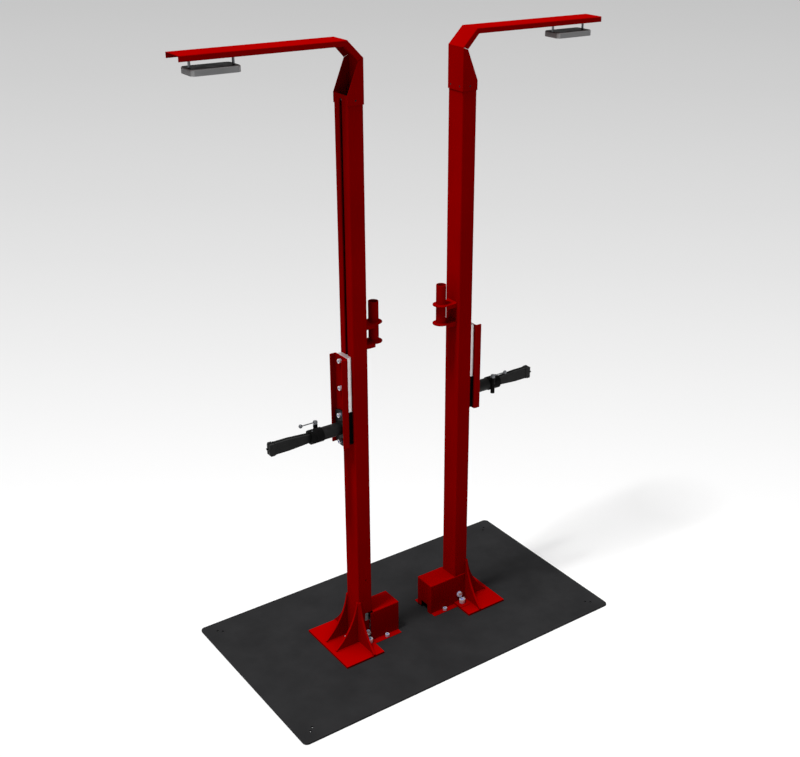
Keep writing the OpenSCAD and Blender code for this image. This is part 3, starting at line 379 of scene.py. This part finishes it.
def painted_shade(material, shader, reach, strength, tint=(0, 0, 0)):
    """Paints shade: mixes a tint in where other surfaces lie close round a point, as shade falls
    there.
    """
    tree = material.node_tree
    hidden = tree.nodes.new("ShaderNodeAmbientOcclusion")
    hidden.inputs["Distance"].default_value = reach
    amount = spread(tree, hidden.outputs["AO"], (0, 1), (strength, 0))
    tinted(material, shader, amount, tint)


def painted_edge_highlight(material, shader, colour):
    """Paints a highlight: mixes a paler colour in where a surface turns round an edge, as if light
    caught it there.
    """
    tree = material.node_tree
    place = tree.nodes.new("ShaderNodeTexCoord")
    size = tree.nodes.new("ShaderNodeVectorMath")
    size.operation = "ABSOLUTE"
    tree.links.new(place.outputs["Normal"], size.inputs[0])
    split = tree.nodes.new("ShaderNodeSeparateXYZ")
    tree.links.new(size.outputs["Vector"], split.inputs[0])
    largest = split.outputs["X"]
    for axis in "YZ":
        largest = calculate(tree, "MAXIMUM", largest, split.outputs[axis])
    tinted(material, shader, spread(tree, largest, flat_to_round, (0, 1)), colour)


finishes = {}

# %% [markdown]
# ## Powder coat
# Masts, arms, covers and feet are powder coated: dry paint is baked on the steel and flows to
# a skin with a faint orange-peel surface. The skin is about a tenth of a millimetre thick, so
# the peel is some hundredths deep and a few millimetres across. Its red is deep and pure. In
# the photograph it mirrors nothing, so its specular level is zero. The base plate has a dark
# grey coat of the finely textured kind, which is rougher and finer in grain.

# %% Red and grey powder coat
red, shader = start_finish("red_powder_coat", (176, 0, 0), 0.45, Specular_IOR_Level=0.0)
shade(red, shader, grain(red, 5, detail=5), (171, 0, 0), (180, 0, 0))
gloss(red, shader, grain(red, 14, detail=4), 0.4, 0.52)
relief(red, shader, grain(red, 260, detail=2), 0.04 * mm)
# Painted shade: the red is darkened where masts, covers, feet and gussets lie close.
painted_shade(red, shader, reach=0.15, strength=0.4)
finishes["red_coat"] = red

plate, shader = start_finish("plate_powder_coat", (44, 44, 45), 0.62, Specular_IOR_Level=0.05)
shade(plate, shader, grain(plate, 7, detail=6), (41, 41, 42), (47, 47, 48))
gloss(plate, shader, grain(plate, 22, detail=4), 0.55, 0.72)
relief(plate, shader, grain(plate, 900, detail=1), 0.06 * mm)
finishes["plate_grey"] = plate
print("coats:", sorted(finishes))

# %% [markdown]
# ## Bright metals
# Zinc on bolts is a thin bright plating with a blue passive film. It is a metal, so its colour
# is what it mirrors, and the roughness decides how sharp that is. In the hexagon sockets light
# is mirrored many times, and each time it turns a little bluer. That is painted into the
# colour: the ambient occlusion node knows how deep in a hollow a point lies, so a painted blue
# reflection and shade is mixed in there. Turned parts have fine rings round their axis, and
# ground shafts have fine lines round them. Both run across the axis, so the noise is squeezed
# along it: a stretch of many in Z and few in X and Y draws thin rings round an upright shaft.

# %% Zinc, ground steel and turned alloy
zinc, shader = start_finish("zinc_plating", (236, 235, 238), 0.34, Metallic=0.45)
shade(zinc, shader, grain(zinc, 120, detail=3), (238, 237, 240), (252, 252, 253))
# Painted reflection and shade: a dark blue is mixed into the hollows of the sockets.
painted_shade(zinc, shader, reach=0.008, strength=1.0, tint=(60, 110, 225))
gloss(zinc, shader, grain(zinc, 300, detail=2), 0.28, 0.42)
relief(zinc, shader, grain(zinc, 1500, detail=1), 0.01 * mm)
finishes["bolt_zinc"] = zinc

ground, shader = start_finish("ground_steel", (150, 151, 155), 0.3, Metallic=1.0)
shade(ground, shader, grain(ground, 9, detail=4), (138, 139, 143), (162, 163, 167))
gloss(ground, shader, grain(ground, 60, (1, 1, 40)), 0.22, 0.38)
relief(ground, shader, grain(ground, 90, (1, 1, 60)), 0.012 * mm)
finishes["ground_steel"] = ground

alloy, shader = start_finish("turned_alloy", (196, 197, 200), 0.32, Metallic=1.0)
shade(alloy, shader, grain(alloy, 30, detail=3), (184, 185, 188), (205, 206, 208))
gloss(alloy, shader, grain(alloy, 70, (1, 1, 30)), 0.25, 0.42)
relief(alloy, shader, grain(alloy, 80, (1, 1, 45)), 0.015 * mm)
finishes["coupling_alloy"] = alloy

bare, shader = start_finish("bare_steel", (128, 130, 134), 0.36, Metallic=0.9)
shade(bare, shader, grain(bare, 60, detail=4), (112, 114, 118), (142, 144, 148))
gloss(bare, shader, grain(bare, 240, detail=3), 0.28, 0.48)
relief(bare, shader, grain(bare, 700, detail=2), 0.02 * mm)
finishes["screw_steel"] = bare
print("finishes:", len(finishes))

# %% [markdown]
# ## The drive's metals
# The motor's housing is cast aluminium, blasted to an even pale grey. The bearings are turned
# from iron, and the nut is bronze, because bronze runs on steel without seizing. Bronze is
# never one colour: it browns where air and grease reach it.

# %% Cast aluminium, iron and bronze
cast, shader = start_finish("cast_aluminium", (165, 167, 170), 0.5, Metallic=0.7)
shade(cast, shader, grain(cast, 25, detail=5), (152, 154, 157), (174, 176, 179))
gloss(cast, shader, grain(cast, 180, detail=3), 0.42, 0.6)
relief(cast, shader, grain(cast, 1100, detail=2), 0.05 * mm)
finishes["motor_grey"] = cast

iron, shader = start_finish("turned_iron", (48, 48, 50), 0.45, Metallic=0.3)
shade(iron, shader, grain(iron, 40, detail=4), (42, 42, 44), (55, 55, 57))
# Painted shade: the iron is darkened where other parts lie close round it.
painted_shade(iron, shader, reach=0.04, strength=1.0)
gloss(iron, shader, grain(iron, 200, detail=3), 0.36, 0.56)
relief(iron, shader, grain(iron, 90, (1, 1, 50)), 0.02 * mm)
finishes["bearing_iron"] = iron

bronze, shader = start_finish("nut_bronze", (178, 136, 78), 0.38, Metallic=1.0)
shade(bronze, shader, grain(bronze, 28, detail=6), (142, 101, 56), (190, 149, 88))
gloss(bronze, shader, grain(bronze, 160, detail=3), 0.28, 0.5)
relief(bronze, shader, grain(bronze, 700, detail=2), 0.03 * mm)
finishes["nut_bronze"] = bronze
print("finishes:", len(finishes))

# %% [markdown]
# ## Plastics
# The carriage runs on two machined blocks, a white one above and a black one below. A cutter
# leaves long shallow lines on such blocks. The white one's sides are brighter in the
# photograph than a dull white could be in this light, because its hard skin mirrors the pale
# floor, so it is more than half metallic. The lamp's lens is an opal sheet with almost no
# grain, and the board behind it is painted white.

# %% Slide blocks, lens and board
white, shader = start_finish("white_slide_block", (244, 240, 240), 0.4, Metallic=0.6)
shade(white, shader, grain(white, 12, detail=5), (239, 234, 234), (248, 245, 245))
gloss(white, shader, grain(white, 50, (6, 6, 1)), 0.34, 0.5)
relief(white, shader, grain(white, 120, (8, 8, 0.5)), 0.03 * mm)
finishes["slide_white"] = white

black, shader = start_finish("black_slide_plastic", (5, 5, 5), 0.5, Specular_IOR_Level=0.01)
shade(black, shader, grain(black, 12, detail=5), (3, 3, 3), (8, 8, 8))
gloss(black, shader, grain(black, 50, (6, 6, 1)), 0.42, 0.6)
relief(black, shader, grain(black, 120, (8, 8, 0.5)), 0.03 * mm)
finishes["slide_black"] = black

opal, shader = start_finish("opal_lens", (236, 235, 230), 0.35, Specular_IOR_Level=0.5,
                            Subsurface_Weight=0.3, Subsurface_Scale=0.003)
shade(opal, shader, grain(opal, 18, detail=3), (231, 230, 225), (240, 239, 235))
gloss(opal, shader, grain(opal, 90, detail=2), 0.3, 0.42)
relief(opal, shader, grain(opal, 500, detail=1), 0.01 * mm)
finishes["lens_white"] = opal

board, shader = start_finish("board_paint", (228, 226, 214), 0.35, Specular_IOR_Level=0.5)
shade(board, shader, grain(board, 200, detail=2), (220, 218, 202), (235, 233, 224))
gloss(board, shader, grain(board, 300, detail=2), 0.3, 0.45)
relief(board, shader, grain(board, 900, detail=1), 0.01 * mm)
finishes["board_white"] = board
print("finishes:", len(finishes))

# %% [markdown]
# ## Lamp coat, blackened steel and rubber
# The lamp's tray has a satin grey coat. Its rounded edges get a painted highlight, a paler
# colour where light would catch them. Its top is nearly black in the photograph, where the arm
# hides it from all light, so painted shade darkens the coat there and wherever other parts lie
# close. Clamp and jaws are blackened steel: the surface is turned black in a bath and then
# oiled, which leaves it dark and slightly patchy, and hands and handlebars rub it grey where it
# is touched most. Painted shade darkens it where other parts lie close. The collar of the clamp
# has a thick black coat instead, which is darker and duller. The pads are matt rubber.

# %% Lamp coat, blackened steel and rubber
lamp, shader = start_finish("lamp_coat", (184, 184, 185), 0.42, Specular_IOR_Level=0.03)
shade(lamp, shader, grain(lamp, 10, detail=4), (180, 180, 181), (189, 189, 190))
# Painted highlight: the rounded edges of the tray are made paler.
painted_edge_highlight(lamp, shader, (240, 240, 240))
# Painted shade: the coat is darkened under the arm and where other parts lie close.
painted_shade(lamp, shader, reach=0.12, strength=1.5)
gloss(lamp, shader, grain(lamp, 40, detail=3), 0.36, 0.5)
relief(lamp, shader, grain(lamp, 420, detail=2), 0.03 * mm)
finishes["lamp_grey"] = lamp

blackened, shader = start_finish("blackened_steel", (38, 38, 38), 0.5, Specular_IOR_Level=0.12)
shade(blackened, shader, grain(blackened, 35, detail=6), (32, 32, 32), (45, 45, 45))
# Painted shade: the steel is darkened where other parts lie close, as inside the channel.
painted_shade(blackened, shader, reach=0.05, strength=1.1)
gloss(blackened, shader, grain(blackened, 70, detail=4), 0.38, 0.6)
relief(blackened, shader, grain(blackened, 800, detail=2), 0.03 * mm)
finishes["clamp_black"] = blackened

collar, shader = start_finish("collar_coat", (14, 14, 14), 0.6, Specular_IOR_Level=0.06)
shade(collar, shader, grain(collar, 30, detail=5), (10, 10, 10), (18, 18, 18))
gloss(collar, shader, grain(collar, 60, detail=4), 0.5, 0.7)
relief(collar, shader, grain(collar, 600, detail=2), 0.04 * mm)
finishes["collar_black"] = collar

rubber, shader = start_finish("pad_rubber", (24, 24, 24), 0.8, Specular_IOR_Level=0.2)
shade(rubber, shader, grain(rubber, 45, detail=5), (19, 19, 19), (31, 31, 30))
gloss(rubber, shader, grain(rubber, 90, detail=3), 0.72, 0.9)
relief(rubber, shader, grain(rubber, 1300, detail=2), 0.08 * mm)
finishes["pad_rubber"] = rubber
print("finishes:", len(finishes))

# %% [markdown]
# ## Every solid gets its finish
# The record says which finish each solid has, so one loop dresses them all. The solids stay
# as they are: only the material in their slot is changed.

# %% Dress the solids
for part in record["subparts"]:
    solid = nodes[part["node"]]
    if not solid.data.materials:
        solid.data.materials.append(None)
    for material_slot in solid.material_slots:
        material_slot.material = finishes[part["material_slot"]]
print("dressed", len(record["subparts"]), "solids")

# %% [markdown]
# ## How an added piece is made
# Each added piece is drawn once, for the mast at +X, and turned half a turn for the other.
# It stays at the origin with its place in its mesh, rides on the body that carries it, and
# names the finish it takes. Edges sharper than 35 degrees stay sharp, the rest is smooth.
# Some pieces start as a line of corners, and round ones as an outline that is spun.

# %% Helpers for added pieces
half_turn = Matrix.Rotation(math.pi, 4, "Z")
sharp_from = math.radians(35)
sides = (("right", False), ("left", True))
x_up, y_up, z_up = Vector((1, 0, 0)), Vector((0, 1, 0)), Vector((0, 0, 1))


def draw_line(shape, points, closed=True):
    """New corners joined by edges, without a face."""
    corners = [shape.verts.new(point) for point in points]
    following = corners[1:] + corners[:1] if closed else corners[1:]
    return corners, [shape.edges.new(pair) for pair in zip(corners, following)]


def spin_outline(shape, axis_x, outline, steps, closed=True):
    """Spins an outline of (radius, height) once round the upright axis at axis_x."""
    corners, edges = draw_line(shape, [(axis_x + r, 0, z) for r, z in outline], closed)
    bmesh.ops.spin(shape, geom=corners + edges, cent=(axis_x, 0, 0), axis=z_up,
                   angle=2 * math.pi, steps=steps, use_merge=True)


def add_piece(name, shape, finish, body, *stands_for, turned=False):
    if turned:
        bmesh.ops.transform(shape, matrix=half_turn, verts=shape.verts)
    bmesh.ops.recalc_face_normals(shape, faces=shape.faces)
    loose = sum(not e.is_manifold for e in shape.edges)
    mesh = bpy.data.meshes.new(name)
    shape.to_mesh(mesh)
    shape.free()
    mesh.polygons.foreach_set("use_smooth", [True] * len(mesh.polygons))
    mesh.set_sharp_from_angle(angle=sharp_from)
    mesh.materials.append(finishes[finish])
    piece = bpy.data.objects.new(name, mesh)
    bpy.context.collection.objects.link(piece)
    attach(piece, body)
    if stands_for:
        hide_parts(*stands_for)
    print(name, len(mesh.polygons), "faces,", loose, "edges that don't join two faces")

# %% [markdown]
# ## Runs of weld
# Mast, gussets and foot plate are welded together. A weld fills the corner between two plates
# and shows the ripples of the pool as it froze. A tube along the seam would look like a cord.
# A run starts as an outline of four edges in the corner of the plates. The edges are extruded
# again and again, and each time one step matrix carries the new row on: a short way along for
# a straight seam, or a small turn for a seam round a tube. Every second row is drawn in a
# little, which gives the ripples. Four edges without a face leave nothing inside the run, and
# its two ends are filled at last, or joined where the run has come round.

# %% One run of weld
weld_step = 3 * mm
weld_leg = 4 * mm
weld_sink = 0.3 * mm
weld_belly = 0.62
ripple = 0.84
ring_gap = 0.01 * mm


def weld_run(shape, corner, wall, other_wall, advance, steps, leg):
    """A run in a corner. The walls are the directions away from it, along the two plates."""
    between = wall + other_wall
    section = (between * -weld_sink, wall * leg, between * leg * weld_belly, other_wall * leg)
    first = draw_line(shape, [corner + offset for offset in section])[1]
    row = first
    for i in range(steps):
        grown = bmesh.ops.extrude_edge_only(shape, edges=row)["geom"]
        points = [g for g in grown if isinstance(g, bmesh.types.BMVert)]
        row = [g for g in grown if isinstance(g, bmesh.types.BMEdge) and g.is_boundary]
        bmesh.ops.transform(shape, matrix=advance, verts=points)
        corner = advance @ corner
        size = 1 / ripple if i % 2 else ripple
        bmesh.ops.scale(shape, vec=(size, size, size), verts=points,
                        space=Matrix.Translation(-corner))
    return first + row


def straight_weld(shape, start, end, wall, other_wall):
    start, end = Vector(start), Vector(end)
    steps = 2 * max(1, round((end - start).length / weld_step / 2))
    advance = Matrix.Translation((end - start) / steps)
    ends = weld_run(shape, start, wall, other_wall, advance, steps, weld_leg)
    bmesh.ops.holes_fill(shape, edges=ends, sides=4)


def ring_weld(shape, centre, radius, leg, steps):
    """A ring of weld round an upright tube, on a face that looks up."""
    middle = Matrix.Translation(centre)
    advance = middle @ Matrix.Rotation(2 * math.pi / steps, 4, "Z") @ middle.inverted()
    start = Vector(centre) + x_up * radius
    ends = weld_run(shape, start, x_up, z_up, advance, steps, leg)
    points = list({v for e in ends for v in e.verts})
    bmesh.ops.remove_doubles(shape, verts=points, dist=ring_gap)


trial = bmesh.new()
straight_weld(trial, (0, 0, 0), (30 * mm, 0, 0), y_up, z_up)
ring_weld(trial, (0, 0, 100 * mm), 16 * mm, 3 * mm, 40)
print("a run of 30 mm and a ring:", len(trial.faces), "faces,",
      sum(e.is_boundary for e in trial.edges), "open edges")
trial.free()

# %% [markdown]
# The places of the seams follow from the solids: the box of each gives the faces that meet.
# The welds stop a little short of a gusset's tip and top. At the back the mast's foot is cut
# away for the motor, so the seam along its side wall is short. On the closed side the motor
# cover lies on the mast: there that seam is left out, and the one behind the gusset starts
# beside the cover.

# %% Weld the masts to their feet
gusset_t, gusset_reach, gusset_rise = 8 * mm, 100 * mm, 180 * mm
tip_short, top_short = 6 * mm, 2 * mm
side_wall = 46 * mm
cover_room = 4 * mm

mast_low, mast_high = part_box("mast_tube_right")
front, side, floor_z = mast_high.x, mast_high.y, mast_low.z
inner, rear = side - gusset_t, front - gusset_t
reach = gusset_reach - tip_short
rise = z_up * (gusset_rise - top_short)

for name, turned in sides:
    shape = bmesh.new()
    straight_weld(shape, (front, -inner, floor_z), (front, inner, floor_z), x_up, z_up)
    for out in (y_up, -y_up):
        outside = Vector((front, out.y * side, floor_z))
        inside = Vector((front, out.y * inner, floor_z))
        behind = Vector((rear, out.y * side, floor_z))
        straight_weld(shape, outside, outside + x_up * reach, out, z_up)
        straight_weld(shape, inside, inside + x_up * reach, -out, z_up)
        straight_weld(shape, outside, outside + out * reach, x_up, z_up)
        straight_weld(shape, outside, outside + rise, x_up, out)
        straight_weld(shape, inside, inside + rise, x_up, -out)
        room = 0 if out.y > 0 else cover_room
        straight_weld(shape, behind + out * room, behind + out * reach, -x_up, z_up)
    behind = Vector((rear, side, floor_z))
    straight_weld(shape, behind, behind + rise, -x_up, y_up)
    straight_weld(shape, (front - side_wall, side, floor_z), behind, y_up, z_up)
    add_piece("foot_welds_" + name, shape, "red_coat", "stand", turned=turned)

# %% [markdown]
# ## The tool post's holder
# In the photograph the holder's tube is a little wider than the solid, so it is drawn again:
# the outline of its wall, with small chamfers at the mouth, is spun round the axis. The wall
# is thick enough to cover the edges of the holes in both flanges.

# %% Draw the tubes
holder_r, holder_bore_r = 18 * mm, 15 * mm
mouth = 0.5 * mm
tube_steps = 64
tube_low, tube_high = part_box("socket_tube_right")
tube_x = (tube_low.x + tube_high.x) / 2

for name, turned in sides:
    shape = bmesh.new()
    outline = [(holder_bore_r, tube_low.z), (holder_r, tube_low.z),
               (holder_r, tube_high.z - mouth), (holder_r - mouth, tube_high.z),
               (holder_bore_r + mouth, tube_high.z), (holder_bore_r, tube_high.z - mouth)]
    spin_outline(shape, tube_x, outline, tube_steps)
    add_piece("holder_tube_" + name, shape, "red_coat", "stand", "socket_tube_" + name,
              turned=turned)

# %% [markdown]
# The holder has two kinds of seam: a ring round the tube on each flange, and a straight run
# where a flange meets the mast's back. The run stops short of the flange's folded sides.

# %% Weld the holders
flange_pitch = 71 * mm
fold_room = 3 * mm
ring_leg, ring_steps = 3 * mm, 72
holder_low, holder_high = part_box("socket_flanges_right")
half = holder_high.y - fold_room

for name, turned in sides:
    shape = bmesh.new()
    for top in (holder_high.z, holder_high.z - flange_pitch):
        ring_weld(shape, (tube_x, 0, top), holder_r, ring_leg, ring_steps)
        straight_weld(shape, (mast_low.x, -half, top), (mast_low.x, half, top), -x_up, z_up)
    add_piece("holder_welds_" + name, shape, "red_coat", "stand", turned=turned)
print("flanges reach", round((mast_low.x - holder_low.x) / mm, 1), "mm behind the mast")

# %% [markdown]
# ## The lead screw
# The screw that lifts the carriage shows through the slot of the mast. It has four threads
# side by side, each of 20 mm lead, so that one turn lifts the carriage 20 mm. A texture could
# fake them, but they cast real shadows in the slot. The core is an outline spun round the
# axis. Each thread is a small outline that a spin turns and lifts by one lead. The rest of the
# thread repeats that lead, so it is copied, each copy one lead higher, and the rows that meet
# are joined. One long spin would give the same thread, but takes minutes instead of a second.

# %% Cut the thread
lead, starts = 20 * mm, 4
thread_depth, thread_crest, thread_flank = 2.2 * mm, 1.8 * mm, 0.7 * mm
thread_sink = 0.2 * mm
thread_foot = thread_crest + 2 * thread_flank
journal_low, thread_low, thread_high = 172.6 * mm, 197 * mm, 2035.5 * mm
journal_step, shaft_step = 2 * mm, 4 * mm
core_steps, lead_steps = 28, 14
lead_gap = 0.001 * mm

low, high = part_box("lead_screw_right")
axis_x = (low.x + high.x) / 2
radius = (high.x - low.x) / 2
journal, shaft = radius - journal_step, radius - shaft_step
core = radius - thread_depth
leads = int((thread_high - thread_low - thread_foot) / lead)

for name, turned in sides:
    shape = bmesh.new()
    outline = [(0, low.z), (shaft, low.z), (shaft, journal_low), (journal, journal_low),
               (journal, thread_low), (core, thread_low), (core, thread_high),
               (journal, thread_high), (journal, high.z), (0, high.z)]
    spin_outline(shape, axis_x, outline, core_steps, closed=False)
    whole_core = set(shape.verts)
    section = [(-thread_sink, 0), (thread_depth, thread_flank),
               (thread_depth, thread_flank + thread_crest), (-thread_sink, thread_foot)]
    for start in range(starts):
        angle = start * 2 * math.pi / starts
        way = Vector((math.cos(angle), math.sin(angle), 0))
        points, edges = draw_line(shape, [Vector((axis_x, 0, thread_low + z)) + way * (core + r)
                                          for r, z in section])
        bmesh.ops.spin(shape, geom=points + edges, cent=(axis_x, 0, 0), axis=z_up,
                       angle=2 * math.pi, steps=lead_steps, dvec=(0, 0, lead / lead_steps))
    points = [v for v in shape.verts if v not in whole_core]
    edges = {e for v in points for e in v.link_edges}
    faces = {f for v in points for f in v.link_faces}
    one_lead = points + list(edges) + list(faces)
    for i in range(1, leads):
        copy = bmesh.ops.duplicate(shape, geom=one_lead)["geom"]
        bmesh.ops.translate(shape, vec=(0, 0, i * lead),
                            verts=[g for g in copy if isinstance(g, bmesh.types.BMVert)])
    bmesh.ops.remove_doubles(shape, verts=shape.verts, dist=lead_gap)
    bmesh.ops.holes_fill(shape, edges=[e for e in shape.edges if e.is_boundary],
                         sides=len(section))
    print(leads, "leads,", sum(e.is_boundary for e in shape.edges), "open edges")
    add_piece("threaded_screw_" + name, shape, "ground_steel", name + "_screw",
              "lead_screw_" + name, turned=turned)

# %% [markdown]
# ## The jaw pads
# Each jaw has a strip of rubber that keeps the paint of a bicycle frame whole. Such strips
# have cross ribs for grip. A strip is a grid of as many cells as it has ribs, shaped to the
# jaw's taper and given its thickness. Each cell of its working face is then inset and sunk a
# little, which leaves a rib between every two.

# %% Ribbed pads
rib_count = 22
rib_half = 0.9 * mm
rib_sink = 0.7 * mm
root_less = 6 * mm
taper_l = 74 * mm

for node, body, outward in (("fixed_pad", "head", -1), ("moving_pad", "jaw", 1)):
    for name, turned in sides:
        low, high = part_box(node + "_right")
        inner_y = high.y if outward < 0 else low.y
        middle_z = (low.z + high.z) / 2
        wide = (high.z - low.z) / 2
        root = wide - root_less
        shape = bmesh.new()
        # The grid is 1 m square. Its length becomes the pad's, and its y runs from -1 to 1.
        bmesh.ops.create_grid(shape, x_segments=rib_count, y_segments=1, size=0.5)
        bmesh.ops.scale(shape, vec=(high.x - low.x, 2, 1), verts=shape.verts)
        bmesh.ops.translate(shape, vec=((low.x + high.x) / 2, 0, 0), verts=shape.verts)
        for point in shape.verts:
            share = min(1.0, (point.co.x - low.x) / taper_l)
            half = root + (wide - root) * share
            point.co = Vector((point.co.x, inner_y, middle_z + point.co.y * half))
        working = list(shape.faces)
        copy = bmesh.ops.duplicate(shape, geom=working)["geom"]
        back_faces = [g for g in copy if isinstance(g, bmesh.types.BMFace)]
        bmesh.ops.translate(shape, vec=(0, (high.y - low.y) * outward, 0),
                            verts=list({v for f in back_faces for v in f.verts}))
        rims = [e for e in shape.edges if len(e.link_faces) == 1]
        bmesh.ops.bridge_loops(shape, edges=rims)
        bmesh.ops.recalc_face_normals(shape, faces=shape.faces)
        bmesh.ops.inset_individual(shape, faces=working, thickness=rib_half, depth=-rib_sink)
        add_piece("ribbed_" + node + "_" + name, shape, "pad_rubber", name + "_" + body,
                  node + "_" + name, turned=turned)

# %% [markdown]
# ## The lamps
# Against the photograph the solid of the lamp is some millimetres short at both ends, so the
# tray and its opal sheet are drawn again, a little longer. The tray starts as a box: its
# upright edges are bevelled wide and its upper edges narrow. Then the underside is inset by
# the thickness of the wall and pushed up, which makes the hollow. Each flat face gets a very
# narrow border, so that the smooth shading of the rounded edges doesn't run into the flats.

# %% Tray and opal sheet
outer_more, inner_more = 8 * mm, 4 * mm
tray_corner, tray_edge = 15 * mm, 4 * mm
corner_steps, edge_steps = 8, 4
tray_wall, tray_roof = 2.5 * mm, 3 * mm
flat_border = 0.3 * mm
box_faces = 6


def longer_box(node):
    """The box of a solid, with its ends moved out."""
    low, high = (Vector(corner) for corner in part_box(node))
    low.x -= inner_more
    high.x += outer_more
    return low, high


def rounded_box(low, high, corner):
    """A box with bevelled upright edges."""
    shape = bmesh.new()
    size = high - low
    bmesh.ops.create_cube(shape, size=1, matrix=Matrix.Translation((low + high) / 2)
                          @ Matrix.Diagonal((*size, 1)))
    upright = [e for e in shape.edges if abs(e.verts[0].co.z - e.verts[1].co.z) > size.z / 2]
    bmesh.ops.bevel(shape, geom=upright, offset=corner, offset_type="OFFSET",
                    segments=corner_steps, profile=0.5, affect="EDGES")
    return shape


for name, turned in sides:
    low, high = longer_box("lamp_housing_right")
    shape = rounded_box(low, high, tray_corner)
    shape.normal_update()
    top = max(shape.faces, key=lambda face: face.normal.z)
    bmesh.ops.bevel(shape, geom=list(top.edges), offset=tray_edge, offset_type="OFFSET",
                    segments=edge_steps, profile=0.5, affect="EDGES")
    shape.normal_update()
    flats = sorted(shape.faces, key=lambda face: -face.calc_area())[:box_faces]
    bottom = min(flats, key=lambda face: face.normal.z)
    bmesh.ops.inset_individual(shape, faces=[f for f in flats if f != bottom],
                               thickness=flat_border)
    bmesh.ops.inset_region(shape, faces=[bottom], thickness=tray_wall)
    pushed = bmesh.ops.extrude_discrete_faces(shape, faces=[bottom])["faces"]
    bmesh.ops.translate(shape, vec=(0, 0, high.z - low.z - tray_roof),
                        verts=list(pushed[0].verts))
    add_piece("lamp_tray_" + name, shape, "lamp_grey", "stand", "lamp_housing_" + name,
              turned=turned)

    low, high = longer_box("lamp_lens_right")
    shape = rounded_box(low, high, tray_corner - tray_wall)
    add_piece("lamp_sheet_" + name, shape, "lens_white", "stand", "lamp_lens_" + name,
              turned=turned)
